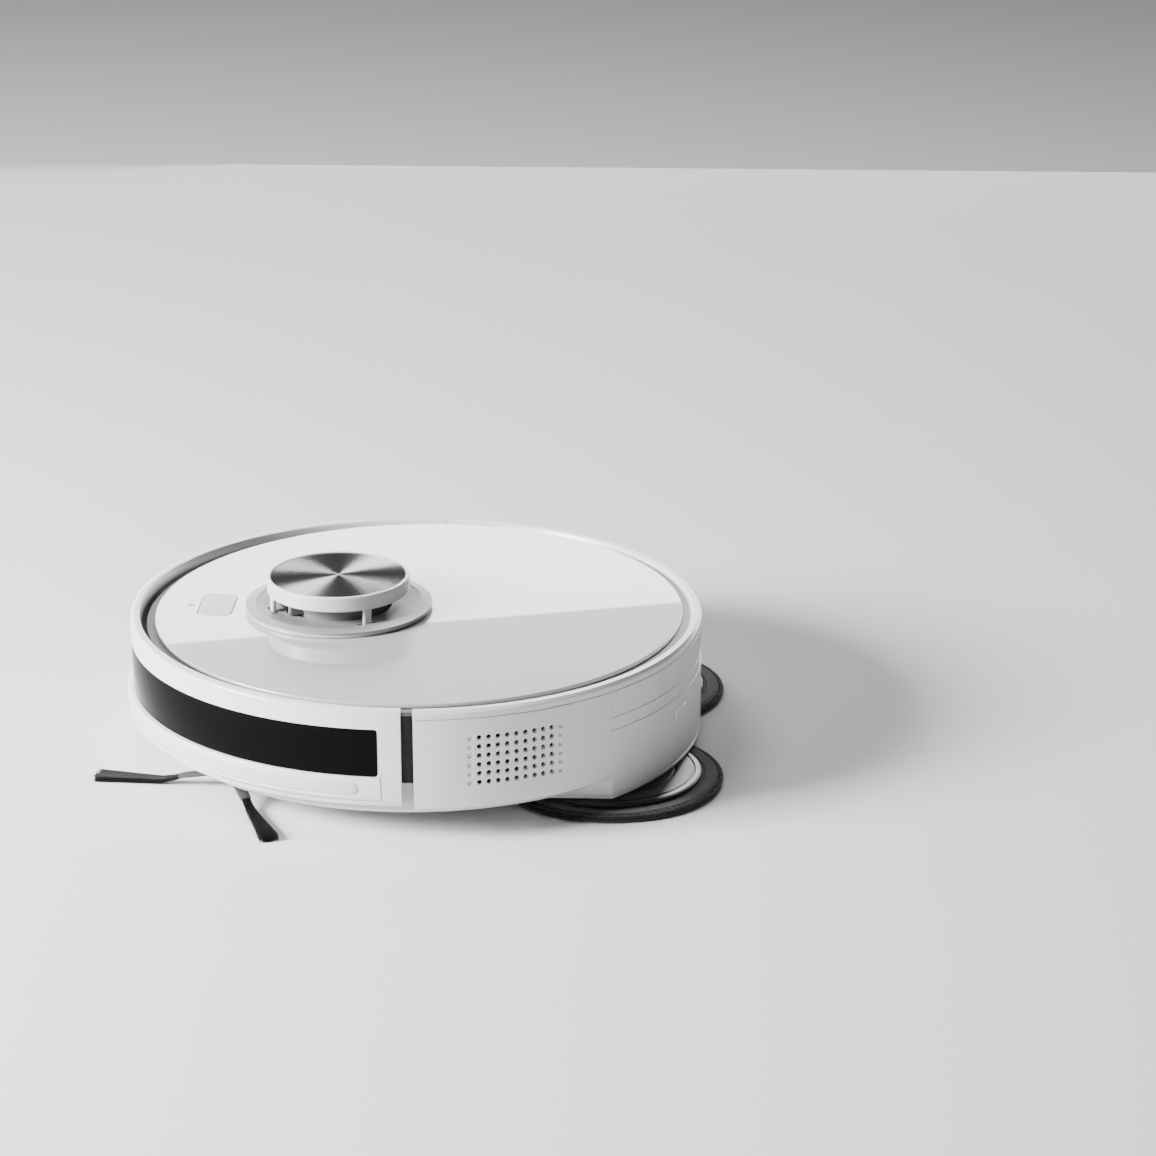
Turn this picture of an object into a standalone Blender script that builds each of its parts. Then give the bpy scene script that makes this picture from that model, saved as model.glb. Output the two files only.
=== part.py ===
"""Robot vacuum with a lidar turret, a sprung bumper, driven wheels and a pull-out mop module.

Sizes are in millimetres and become metres where a mesh is made. The front faces -Y, the robot's
left side is +X, +Z is up, and the floor is at z = 0.
"""

from math import asin, cos, degrees, radians, sin, sqrt

import bmesh
import bpy
from mathutils import Matrix, Vector

# Driving sizes.
BODY_R = 175.0
DECK_Z = 82.0
TURRET_R = 44.2
TURRET_Y = -50.0
TURRET_RISE = 21.5
WHEEL_R = 35.0
ROLLER_R = 18.0
MOP_R = 69.5
BRUSH_REACH = 86.0
CASTER_R = 11.0

GAP = 0.3
WALL = 2.6
SEGMENT_DEG = 5.0

MM = 0.001


def p(value):
    """A plan size that grows with the body's radius."""
    return value * BODY_R / 175.0


def h(value):
    """A height that grows with the deck's height."""
    return value * DECK_Z / 82.0


# Positions that several pieces share.
BUMPER_Y = p(-3.0)
GAP_FRONT_Y = p(3.4)
GAP_REAR_Y = p(10.4)
GAP_REAR_DEG = degrees(asin(GAP_REAR_Y / BODY_R))
BASE_R = BODY_R - 7.0
BASE_Z = h(15.0)
BASE_TOP = h(18.0)
BASE_WALL_Z = h(35.0)
SHELL_Z = h(21.0)
SEAM_Z = DECK_Z - 5.3
COVER_Z = SEAM_Z - 0.1
COVER_TOP = DECK_Z - 3.0
TANK_Z = COVER_Z - 2.6
FAN_TOP = h(69.7)
BAY_X = p(124.2)
BAY_Y = p(60.0)
MODULE_Z = h(8.0)
MOUTH_Y = p(-65.0)
MOUTH_X = p(84.0)
MOUTH_HALF = ROLLER_R + 1.5
PIN_R = 4.0
ROLLER_Z = ROLLER_R + h(4.5)
CHAMBER_Z = ROLLER_Z + ROLLER_R + h(12.5)
BRUSH_AT = (p(97.0), p(-106.0))
CASTER_AT = (0.0, p(-141.0))
WHEEL_X = p(121.0)
WHEEL_Y = p(2.0)
PIVOT_Y = p(-50.0)
PIVOT_Z = h(48.0)
FAN_AT = (p(42.0), p(20.0))
MOP_AT = (p(73.5), p(120.0))
PILL_Y = p(-126.0)
LAMP_Y = p(-142.0)
EYE_Y = p(6.0) - sqrt((BASE_R - 3.3) ** 2 - p(61.0) ** 2)


def clear_scene():
    for obj in list(bpy.data.objects):
        bpy.data.objects.remove(obj, do_unlink=True)


def material(name, colour, rough=0.4, metal=0.0):
    mat = bpy.data.materials.new(name)
    mat.use_nodes = True
    shader = mat.node_tree.nodes["Principled BSDF"]
    shader.inputs["Base Color"].default_value = (*colour, 1.0)
    shader.inputs["Roughness"].default_value = rough
    shader.inputs["Metallic"].default_value = metal
    return mat


def solid(name, points, faces, mat=None):
    """A closed mesh object from points in millimetres, with its faces turned outwards."""
    mesh = bpy.data.meshes.new(name)
    mesh.from_pydata([Vector(point) * MM for point in points], [], faces)
    work = bmesh.new()
    work.from_mesh(mesh)
    bmesh.ops.recalc_face_normals(work, faces=work.faces)
    work.to_mesh(mesh)
    work.free()
    obj = bpy.data.objects.new(name, mesh)
    bpy.context.scene.collection.objects.link(obj)
    if mat:
        mesh.materials.append(mat)
    return obj


def prism(name, outline, low, high, mat=None):
    """An outline in plan, drawn up from low to high."""
    count = len(outline)
    points = [(x, y, z) for z in (low, high) for x, y in outline]
    faces = [tuple(range(count)), tuple(range(count, 2 * count))]
    for i in range(count):
        j = (i + 1) % count
        faces.append((i, j, j + count, i + count))
    return solid(name, points, faces, mat)


def box(name, xs, ys, zs, mat=None):
    outline = [(xs[0], ys[0]), (xs[1], ys[0]), (xs[1], ys[1]), (xs[0], ys[1])]
    return prism(name, outline, zs[0], zs[1], mat)


def side_prism(name, outline, low, high, mat=None):
    """An outline in the YZ plane, drawn along X from low to high."""
    count = len(outline)
    points = [(x, y, z) for x in (low, high) for y, z in outline]
    faces = [tuple(range(count)), tuple(range(count, 2 * count))]
    for i in range(count):
        j = (i + 1) % count
        faces.append((i, j, j + count, i + count))
    return solid(name, points, faces, mat)


def sweep(name, profile, start=0.0, end=360.0, centre=(0.0, 0.0), step=SEGMENT_DEG, mat=None):
    """A profile of (radius, height) turned about Z. It may be a function of the angle."""
    shape = profile if callable(profile) else lambda angle: profile
    whole = end - start >= 360.0
    count = max(3, round((end - start) / step))
    angles = [start + (end - start) * i / count for i in range(count + (not whole))]
    points, rings = [], []
    for angle in angles:
        turn = radians(angle)
        ring = []
        for k, (r, z) in enumerate(shape(angle)):
            if r == 0.0 and rings:
                ring.append(rings[0][k])
                continue
            ring.append(len(points))
            points.append((centre[0] + r * cos(turn), centre[1] + r * sin(turn), z))
        rings.append(ring)
    faces = []
    pairs = list(zip(rings, rings[1:])) + ([(rings[-1], rings[0])] if whole else [])
    for a, b in pairs:
        for k in range(len(a)):
            m = (k + 1) % len(a)
            corners = list(dict.fromkeys((a[k], a[m], b[m], b[k])))
            if len(corners) > 2:
                faces.append(tuple(corners))
    if not whole:
        faces += [tuple(rings[0]), tuple(rings[-1])]
    return solid(name, points, faces, mat)


def rod(name, at, r, low, high, sides=24, mat=None):
    """An upright cylinder."""
    outline = [
        (at[0] + r * cos(radians(360 * i / sides)), at[1] + r * sin(radians(360 * i / sides)))
        for i in range(sides)
    ]
    return prism(name, outline, low, high, mat)


def axle(name, at, r, low, high, sides=24, mat=None):
    """A cylinder along X, at (y, z)."""
    outline = [
        (at[0] + r * cos(radians(360 * i / sides)), at[1] + r * sin(radians(360 * i / sides)))
        for i in range(sides)
    ]
    return side_prism(name, outline, low, high, mat)


def ring_x(name, profile, at, sides=40, mat=None):
    """A profile of (radius, x) turned about the X axis through at = (y, z)."""
    points = []
    for i in range(sides):
        turn = radians(360 * i / sides)
        points += [(x, at[0] + r * cos(turn), at[1] + r * sin(turn)) for r, x in profile]
    size = len(profile)
    faces = []
    for i in range(sides):
        a, b = i * size, (i + 1) % sides * size
        for k in range(size):
            m = (k + 1) % size
            faces.append((a + k, a + m, b + m, b + k))
    return solid(name, points, faces, mat)


def boolean(obj, tool, operation):
    modifier = obj.modifiers.new(operation, "BOOLEAN")
    modifier.operation = operation
    modifier.solver = "EXACT"
    modifier.object = tool
    graph = bpy.context.evaluated_depsgraph_get()
    graph.update()
    made = bpy.data.meshes.new_from_object(obj.evaluated_get(graph))
    obj.modifiers.clear()
    obj.data = made
    work = bmesh.new()
    work.from_mesh(made)
    bmesh.ops.remove_doubles(work, verts=work.verts, dist=2e-6)
    work.to_mesh(made)
    work.free()
    bpy.data.objects.remove(tool, do_unlink=True)
    return obj


def cut(obj, *tools):
    for tool in tools:
        boolean(obj, tool, "DIFFERENCE")
    return obj


def join(obj, *tools):
    for tool in tools:
        boolean(obj, tool, "UNION")
    return obj


def turned(obj, angle, centre=(0.0, 0.0)):
    """Turns the mesh about the upright line through centre."""
    pivot = Vector((*centre, 0.0)) * MM
    turn = Matrix.Translation(pivot) @ Matrix.Rotation(radians(angle), 4, "Z")
    obj.data.transform(turn @ Matrix.Translation(-pivot))
    return obj


def hinge_at(obj, x, y, z):
    """Puts the object's origin on its joint without moving the shape."""
    spot = Vector((x, y, z)) * MM
    obj.data.transform(Matrix.Translation(-spot))
    obj.location = spot
    return obj


def arc(r, start, end, count, centre=(0.0, 0.0)):
    angles = [radians(start + (end - start) * i / count) for i in range(count + 1)]
    return [(centre[0] + r * cos(a), centre[1] + r * sin(a)) for a in angles]


def mirror_name(name, side):
    return name + ("_left" if side > 0 else "_right")


def bay_tool():
    """The room that the pull-out module slides in."""
    return box("bay", (-BAY_X, BAY_X), (BAY_Y, BODY_R + 30), (-5, SEAM_Z - 0.2))


# Chassis: the moulded pan with its wells, the black bulkhead, and the cover under the deck.


def chassis_base(grey):
    """The floor of the pan, with its pivot ears and wells."""
    floor = [(0, BASE_Z), (BASE_R - 4, BASE_Z), (BASE_R - 0.8, BASE_TOP), (0, BASE_TOP)]
    pan = sweep("chassis_base", floor, mat=grey)
    join(pan, rod("cup", CASTER_AT, 22.5, BASE_Z + 1.5, h(34)))
    for side in (-1, 1):
        for inner, outer in ((96.0, 101.5), (113.0, 118.0)):
            xs = sorted((side * p(inner), side * p(outer)))
            ear = box("ear", xs, (PIVOT_Y - 6, PIVOT_Y + 5.5), (BASE_Z + 1, PIVOT_Z + 7))
            join(pan, ear)
    cut(pan, bay_tool(), rod("well", CASTER_AT, 20, BASE_Z - 5, h(31)))
    cut(pan, rod("socket", CASTER_AT, 3.3, BASE_Z, h(36), 16))
    mouth = (MOUTH_Y - MOUTH_HALF, MOUTH_Y + MOUTH_HALF)
    cut(pan, box("mouth", (-MOUTH_X, MOUTH_X), mouth, (0, 30)))
    notch = (-p(87) - GAP, p(87) + GAP)
    cut(pan, axle("pin_notch", (MOUTH_Y, ROLLER_Z), PIN_R + GAP, *notch, sides=16))
    cut(pan, rod("brush_hole", BRUSH_AT, 9, 0, 30))
    cut(pan, axle("bores", (PIVOT_Y, PIVOT_Z), 4.3, p(-200), p(200)))
    well = (WHEEL_Y - WHEEL_R - 10.5, WHEEL_Y + WHEEL_R + 4)
    for side in (-1, 1):
        xs = sorted((side * p(101.8), side * p(132.5)))
        cut(pan, box("wheel_well", xs, well, (0, h(26))))
        eye = (EYE_Y - p(4), EYE_Y + p(4))
        cut(pan, box("eye", sorted((side * p(41), side * p(59))), eye, (0, 30)))
    return pan


def chassis_wall(grey):
    """The low wall that stands on the floor's edge and stops at the module's bay."""
    low = BASE_TOP + GAP
    ring = [(BASE_R - 3, low), (BASE_R, low), (BASE_R, BASE_WALL_Z), (BASE_R - 3, BASE_WALL_Z)]
    return cut(sweep("chassis_wall", ring, mat=grey), bay_tool())


def inner_wall(black):
    ring = [(BASE_R - 4, BASE_WALL_Z + GAP), (BASE_R - 1, BASE_WALL_Z + GAP)]
    ring += [(BASE_R - 1, COVER_Z - GAP), (BASE_R - 4, COVER_Z - GAP)]
    return sweep("inner_wall", ring, -188, 8, mat=black)


def rim_profile(lift=0.0):
    """The raised lip round the deck, from the seam up to its bevel and down to the groove."""
    return [
        (BODY_R, DECK_Z - 1.8 + lift),
        (BODY_R - 2.0, DECK_Z + lift),
        (BODY_R - 5.5, DECK_Z + lift),
        (BODY_R - 6.7, COVER_TOP + GAP),
    ]


def top_cover(silver):
    plate = [(0, COVER_Z), (BASE_R, COVER_Z), (BASE_R, COVER_TOP), (0, COVER_TOP)]
    cover = sweep("top_cover", plate, mat=silver)
    reach = TURRET_R + 2.8
    plug = [(0, COVER_Z - 9), (reach, COVER_Z - 9), (reach, DECK_Z), (0, DECK_Z)]
    hole = sweep("turret_hole", plug, centre=(0, TURRET_Y), step=10)
    rim = [(BASE_R - 0.5, SEAM_Z), (BODY_R, SEAM_Z), *rim_profile(), (BASE_R - 0.5, COVER_TOP - 0.2)]
    join(cover, sweep("rim", rim, GAP_REAR_DEG, 180 - GAP_REAR_DEG))
    slot = (PILL_Y - 7, PILL_Y + 7)
    cut(cover, hole, box("plungers", (p(-17.5), p(17.5)), slot, (COVER_Z - 9, DECK_Z)))
    return cut(cover, rod("lamp_hole", (0, LAMP_Y), 2, COVER_Z - 9, DECK_Z, sides=12))


def pill(grow=0.0):
    """The outline of the key pad: a rounded slot across the deck."""
    half, r = p(20) + grow, p(10.5) + grow
    flat = half - r * 0.62
    right = [(flat + (half - flat) * cos(a), PILL_Y + r * sin(a)) for a in
             (radians(-90 + 180 * i / 8) for i in range(9))]
    return right + [(-x, 2 * PILL_Y - y) for x, y in right]


def top_panel(gloss):
    low, high = COVER_TOP + GAP, DECK_Z
    disc = [(0, low), (p(163), low), (p(163), high - 0.6), (p(163) - 0.6, high), (0, high)]
    panel = sweep("top_panel", disc, mat=gloss)
    room = [(0, low - 3), (TURRET_R + 7.8, low - 3), (TURRET_R + 7.8, high + 3), (0, high + 3)]
    cut(panel, sweep("room", room, centre=(0, TURRET_Y), step=10))
    cut(panel, prism("pad", pill(GAP), low - 3, high + 3))
    return cut(panel, rod("lamp_hole", (0, LAMP_Y), 1.9, low - 3, high + 3, sides=12))


def side_shell(side, silver):
    """The rear quarter of the body's wall, with its block of exhaust holes."""
    skin = [
        (BASE_R + GAP, SHELL_Z),
        (BODY_R - 1, SHELL_Z),
        (BODY_R, SHELL_Z + 1.5),
        (BODY_R, SEAM_Z - GAP),
        (BODY_R - WALL, SEAM_Z - GAP),
        (BODY_R - WALL, SHELL_Z + 2.4),
        (BASE_R + GAP, SHELL_Z + 2.4),
    ]
    start, end = GAP_REAR_DEG, 48.0
    if side < 0:
        start, end = 180 - end, 180 - start
    shell = sweep(mirror_name("side_shell", side), skin, start, end, mat=silver)
    cut(shell, bay_tool())
    points, faces = [], []
    for column in range(1, 10):
        angle = radians(14.2 + 1.834 * column)
        for row in range(6):
            z = h(64.2) - h(5.56) * row
            base = len(points)
            for depth in (BODY_R - 6, BODY_R + 3):
                for k in range(4):
                    along = 1.5 * cos(radians(90 * k + 45))
                    x = depth * cos(angle) - along * sin(angle)
                    y = depth * sin(angle) + along * cos(angle)
                    points.append((side * x, y, z + 1.5 * sin(radians(90 * k + 45))))
            faces.append(tuple(base + k for k in range(4)))
            faces.append(tuple(base + 4 + k for k in range(4)))
            for k in range(4):
                m = (k + 1) % 4
                faces.append((base + k, base + m, base + 4 + m, base + 4 + k))
    return cut(shell, solid("vents", points, faces))


# Bumper: shell, infrared window, lower skirt and its soft strip, on one carriage.


def front_angle(angle):
    """Degrees away from straight ahead."""
    return (angle + 90 + 180) % 360 - 180


def bumper_shell(silver):
    def skin(angle):
        lift = 3.6 * cos(radians(0.75 * front_angle(angle))) ** 2
        return [
            (BODY_R - 5.2, h(23)),
            (BODY_R - 1.4, h(23)),
            (BODY_R, h(26)),
            *rim_profile(lift),
            (BODY_R - 5.2, COVER_TOP + GAP),
            (BODY_R - 4.4, COVER_TOP - 0.5),
            (BODY_R - 4.4, h(26.5)),
        ]

    reach = 90 + degrees(asin((GAP_FRONT_Y - BUMPER_Y) / BODY_R))
    at = (0, BUMPER_Y)
    shell = sweep("bumper_shell", skin, -90 - reach, -90 + reach, at, mat=silver)
    for low, high, end in ((h(41.3), h(70.8), 2.25), (h(26), h(41.5), 1.65)):
        inner, outer = BODY_R - 1.7, BODY_R + 9
        pocket = [(inner, low), (outer, low), (outer, high), (inner, high)]
        cut(shell, sweep("pocket", pocket, end - 180, -end, at))
    return shell


def bumper_window(smoke):
    inner, outer = BODY_R - 1.4, BODY_R - 0.1
    pane = [(inner, h(41.6)), (outer, h(41.6)), (outer, h(70.5)), (inner, h(70.5))]
    return sweep("bumper_window", pane, -177.6, -2.4, (0, BUMPER_Y), mat=smoke)


def skirt_r(angle):
    """The skirt stands proud at the front and runs out flush at its ends."""
    return BODY_R + 3.0 * cos(radians(front_angle(angle)))


def bumper_skirt(silver):
    def lip(angle):
        r = skirt_r(angle)
        return [
            (BODY_R - 1.4, h(26.3)),
            (BODY_R - 0.7, h(26.3)),
            (r, h(26.3) + 1.4),
            (r, h(41.2) - 0.6),
            (r - 0.5, h(41.2)),
            (BODY_R - 1.4, h(41.2)),
        ]

    def slot(angle):
        r = skirt_r(angle) - 0.8
        return [(r, h(29.7)), (r + 9, h(29.7)), (r + 9, h(37.3)), (r, h(37.3))]

    skirt = sweep("bumper_skirt", lip, -178.2, -1.8, (0, BUMPER_Y), mat=silver)
    return cut(skirt, sweep("slot", slot, -173.9, -6.1, (0, BUMPER_Y)))


def bumper_strip(soft):
    def band(angle):
        r = skirt_r(angle)
        return [(r - 0.5, h(30)), (r + 0.3, h(30.6)), (r + 0.3, h(36.4)), (r - 0.5, h(37))]

    return sweep("bumper_strip", band, -173.7, -6.3, (0, BUMPER_Y), mat=soft)


def bump_switch(side, black):
    ys = (-BASE_R - 1.0, -BASE_R + 0.7)
    body = box(mirror_name("bump_switch", side), (-6, 6), ys, (h(50), h(58)), black)
    return turned(body, side * 35)


# Turret: fixed ring, floating cap on four posts, and the spinning lidar drum.

POST_ANGLES = (30, 150, -67, -113)


def post(angle, grow, low, high):
    depth = (TURRET_R - 3.3 - grow, TURRET_R - 0.5 + grow)
    body = box("post", (-2.7 - grow, 2.7 + grow), depth, (low, high))
    turned(body, angle - 90)
    body.data.transform(Matrix.Translation(Vector((0, TURRET_Y, 0)) * MM))
    return body


def turret_base(grey):
    cup, neck, flange = TURRET_R - 8.2, TURRET_R + 5.8, TURRET_R + 13.8
    dish, top = DECK_Z + 2.5, DECK_Z + 4.6
    ring = [
        (5.3, h(70)), (cup, h(70)), (cup, COVER_TOP + GAP), (neck, COVER_TOP + GAP),
        (neck, DECK_Z + GAP), (flange, DECK_Z + GAP), (flange, DECK_Z + 3.8),
        (TURRET_R + 7.4, top), (TURRET_R - 4.2, dish), (cup - 3, dish), (cup - 3, h(72.2)),
        (5.3, h(72.2)),
    ]
    base = sweep("turret_base", ring, centre=(0, TURRET_Y), step=10, mat=grey)
    for angle in POST_ANGLES:
        cut(base, post(angle, 0.5, h(75), top + 3))
    return base


def turret_cap(silver):
    top = DECK_Z + TURRET_RISE
    r = TURRET_R
    cap = [
        (0, top - 6), (r - 3.2, top - 6), (r - 3.2, top - 9.6), (r - 0.6, top - 9.6), (r, top - 9),
        (r, top - 0.6), (r - 0.6, top), (r - 2, top), (r - 2, top - 1.5), (0, top - 1.5),
    ]
    body = sweep("turret_cap", cap, centre=(0, TURRET_Y), step=10, mat=silver)
    for angle in POST_ANGLES:
        join(body, post(angle, 0, h(76), top - 8.5))
    return hinge_at(body, 0, TURRET_Y, top)


def cap_disc(metal):
    top = DECK_Z + TURRET_RISE
    r = TURRET_R - 2.3
    disc = [(0, top - 1.2), (r, top - 1.2), (r, top - 0.4), (0, top - 0.2)]
    return sweep("cap_disc", disc, centre=(0, TURRET_Y), step=10, mat=metal)


def lidar_drum(grey):
    top = DECK_Z + TURRET_RISE - 8.7
    r = TURRET_R - 13.7
    drum = [
        (0, h(62)), (5, h(62)), (5, h(72.7)), (r, h(72.7)),
        (r, DECK_Z + 3.5), (r + 1, top), (0, top),
    ]
    body = sweep("lidar_drum", drum, centre=(0, TURRET_Y), step=12, mat=grey)
    depth = (TURRET_Y - TURRET_R + 8.4, TURRET_Y - 15)
    head = box("head", (-15, 15), depth, (DECK_Z + 3.3, top - 1.2))
    return turned(join(body, head), 22, (0, TURRET_Y))


def lidar_window(smoke):
    zs = (DECK_Z + 3.9, DECK_Z + TURRET_RISE - 10.4)
    face = TURRET_Y - TURRET_R + 8.4
    pane = box("lidar_window", (-13, 13), (face - 1.2, face - GAP), zs, smoke)
    return turned(pane, 22, (0, TURRET_Y))


def lidar_mount(black):
    ys = (TURRET_Y - 24, TURRET_Y + 34)
    plate = box("lidar_mount", (-30, 34), ys, (h(66), h(70) - GAP), black)
    join(plate, rod("motor", (24, TURRET_Y + 22), 9, h(53), h(67)))
    return cut(plate, rod("bearing", (0, TURRET_Y), 5.3, h(60), h(72), sides=20))


# Keys and lamp on the deck, with the small board under them.


def deck_key(name, side, silver):
    """Half of the pill, with a plunger that stops short of the board."""
    outline = [(side * (x if x > 0 else GAP / 2), y) for x, y in pill() if x > -1]
    outline = [(side * GAP / 2, pill()[0][1])] + outline[:9] + [(side * GAP / 2, pill()[8][1])]
    key = prism(name, outline, COVER_TOP + 1.0, DECK_Z + 0.1, silver)
    xs = sorted((side * p(3), side * p(15)))
    join(key, box("plunger", xs, (PILL_Y - 5, PILL_Y + 5), (h(73.6) + 0.9, COVER_TOP + 1.5)))
    return hinge_at(key, side * p(10), PILL_Y, DECK_Z)


def board(name, xs, ys, top, feet, green):
    """A circuit board with the standoffs that hold it up to the cover."""
    plate = box(name, xs, ys, (top - 1.6, top), green)
    for at in feet:
        join(plate, rod("standoff", at, 3, top - 0.8, COVER_Z - GAP, sides=10))
    return plate


def button_board(green):
    feet = [(p(x), PILL_Y - p(14)) for x in (-24, 24)]
    return board("button_board", (p(-30), p(30)), (p(-148), p(-114)), h(73.6), feet, green)


def status_lens(clear):
    return rod("status_lens", (0, LAMP_Y), 1.6, h(73.6) + GAP, DECK_Z, sides=12, mat=clear)


# Air path: brush chamber, duct, fan.


def brush_housing(black):
    ys = (MOUTH_Y - MOUTH_HALF, MOUTH_Y + MOUTH_HALF)
    shell = box("brush_housing", (-MOUTH_X - 6, MOUTH_X + 6), (ys[0] - 3.5, ys[1] + 3.5),
                (BASE_TOP + GAP, CHAMBER_Z), black)
    cut(shell, box("chamber", (-MOUTH_X - 2, MOUTH_X + 2), ys, (BASE_TOP - 5, CHAMBER_Z - 3)))
    cut(shell, box("outlet", (p(-56), p(-14)), (ys[1] - 5, ys[1] + 9), (h(44.5), CHAMBER_Z - 3.2)))
    reach = (-MOUTH_X - 4, MOUTH_X + 4)
    return cut(shell, axle("sockets", (MOUTH_Y, ROLLER_Z), PIN_R + GAP, *reach, sides=16))


def suction_duct(grey):
    ys = (MOUTH_Y + MOUTH_HALF + 3.5 + GAP, BAY_Y - GAP)
    tube = box("suction_duct", (p(-58), p(-12)), ys, (h(42.5), h(55)), grey)
    return cut(tube, box("way", (p(-56), p(-14)), (ys[0] - 5, ys[1] + 5), (h(44.5), h(53))))


def fan_housing(grey):
    x, y = FAN_AT
    rear = BAY_Y - GAP
    body = rod("fan_housing", FAN_AT, p(30), h(43), h(69.6), 24, grey)
    join(body, box("inlet", (x - p(22), x + p(10)), (y, rear), (h(59), FAN_TOP)))
    join(body, box("outlet", (x, p(150)), (y + p(22), y + p(38.6)), (h(43.1), h(61))))
    cut(body, rod("volute", FAN_AT, p(27), h(46), h(59), 24))
    cut(body, rod("eye", FAN_AT, p(12), h(57), h(67)))
    cut(body, box("inlet_way", (x - p(20), x + p(8)), (y - p(5), rear + 9), (h(62), h(67.6))))
    return cut(body, box("outlet_way", (x + p(2), p(160)), (y + p(23.6), y + p(37)), (h(46.1), h(58))))


def fan_impeller(black):
    x, y = FAN_AT
    wheel = rod("fan_impeller", FAN_AT, p(24.5), h(46.4), h(48), 24, black)
    join(wheel, rod("hub", FAN_AT, p(7), h(47), h(57.5), 16))
    for k in range(7):
        blade = box("blade", (x + p(5), x + p(23.5)), (y - 0.8, y + 0.8), (h(47.2), h(57)))
        join(wheel, turned(blade, 360 * k / 7 + 5, FAN_AT))
    return hinge_at(wheel, x, y, h(46.4))


# Inside the pan: battery, board and motors.


def battery_pack(blue):
    return box("battery_pack", (p(-68), p(68)), (p(-36), p(36)), (BASE_TOP + GAP, h(40)), blue)


def main_board(green):
    feet = [(p(x), p(y)) for x in (-78, 78) for y in (6, 46)]
    return board("main_board", (p(-84), p(84)), (p(0), p(52)), FAN_TOP + 2.2, feet, green)


def brush_motor(black):
    xs = (p(-116), -MOUTH_X - 6 - GAP)
    return box("brush_motor", xs, (p(-82), PIVOT_Y - p(7.5)), (BASE_TOP + GAP, h(48)), black)


def side_brush_motor(black):
    body = rod("side_brush_motor", BRUSH_AT, p(16), BASE_TOP + GAP, h(52), 24, black)
    return cut(body, rod("bore", BRUSH_AT, 5.3, BASE_TOP - 5, h(27), 16))


def cliff_sensor(side, smoke):
    at = (side * p(50), EYE_Y)
    eye = box(mirror_name("cliff_sensor", side), (at[0] - p(9) + GAP, at[0] + p(9) - GAP),
              (at[1] - p(4) + GAP, at[1] + p(4) - GAP), (BASE_Z - 0.3, h(24)), smoke)
    return join(eye, box("flange", (at[0] - p(11), at[0] + p(11)), (at[1] - p(6), at[1] + p(6)),
                         (BASE_TOP + GAP, BASE_TOP + 2.2)))


# Floor side: wheels on swing arms, caster, brushes.


def wheel_arm(side, black):
    """The gear case that swings about the pivot pin and carries the driven wheel."""
    body = side_prism(
        mirror_name("wheel_arm", side),
        [
            (PIVOT_Y - 5, PIVOT_Z - 5), (PIVOT_Y + 6, PIVOT_Z - 7.5), (WHEEL_Y - 8, WHEEL_R - 9),
            (WHEEL_Y + 8, WHEEL_R - 9), (WHEEL_Y + 11, WHEEL_R), (WHEEL_Y + 6, WHEEL_R + 10),
            (PIVOT_Y + 8, PIVOT_Z + 6), (PIVOT_Y - 3, PIVOT_Z + 6),
        ],
        *sorted((side * p(102.5), side * p(111))),
        black,
    )
    join(body, axle("pin", (PIVOT_Y, PIVOT_Z), 4, *sorted((side * p(96.5), side * p(117.5)))))
    cut(body, axle("bore", (WHEEL_Y, WHEEL_R), 4.3, *sorted((side * p(90), side * p(115)))))
    return hinge_at(body, side * p(107), PIVOT_Y, PIVOT_Z)


def wheel_hub(side, grey):
    return hinge_at(
        ring_x(mirror_name("wheel_hub", side), wheel_profile(side), (WHEEL_Y, WHEEL_R), 28, grey),
        side * WHEEL_X, WHEEL_Y, WHEEL_R,
    )


def wheel_profile(side):
    """The hub's section: rim, web and the stub axle that runs in the arm."""
    rim, dish = 25.7 * WHEEL_R / 35.0, 21.0 * WHEEL_R / 35.0
    inner, outer = p(112.2), p(129.0)
    section = [
        (1.0, p(102.8)), (4.0, p(102.8)), (4.0, inner), (rim, inner), (rim, outer),
        (dish, outer), (dish - 3, outer - 4), (6.0, outer - 4), (1.0, outer - 2),
    ]
    return [(r, side * x) for r, x in section]


def wheel_tyre(side, rubber):
    inner = 26.0 * WHEEL_R / 35.0
    section = [
        (inner, p(112.2)), (WHEEL_R - 1.5, p(112.2)), (WHEEL_R, p(114.2)),
        (WHEEL_R, p(127.8)), (WHEEL_R - 1.5, p(129.8)), (inner, p(129.8)),
    ]
    profile = [(r, side * x) for r, x in section]
    return ring_x(mirror_name("wheel_tyre", side), profile, (WHEEL_Y, WHEEL_R), 28, rubber)


def caster_fork(grey):
    x, y = CASTER_AT
    crown = 2 * CASTER_R + 1.3
    fork = rod("caster_fork", CASTER_AT, 15, crown, crown + 2.7, 24, grey)
    join(fork, rod("stem", CASTER_AT, 3, crown + 1, h(33.5), 16))
    for side in (-1, 1):
        leg = box("leg", sorted((side * 6.8, side * 9.8)), (y - 1, y + 10), (CASTER_R - 3.5, crown + 1))
        join(fork, leg)
    join(fork, axle("pin", (y + 5, CASTER_R), 2, -8, 8, sides=12))
    return hinge_at(fork, x, y, crown)


def caster_wheel(rubber):
    section = [(2.3, -6), (CASTER_R - 1, -6), (CASTER_R, -5), (CASTER_R, 5), (CASTER_R - 1, 6), (2.3, 6)]
    at = (CASTER_AT[1] + 5, CASTER_R)
    return hinge_at(ring_x("caster_wheel", section, at, 20, rubber), 0, *at)


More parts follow.
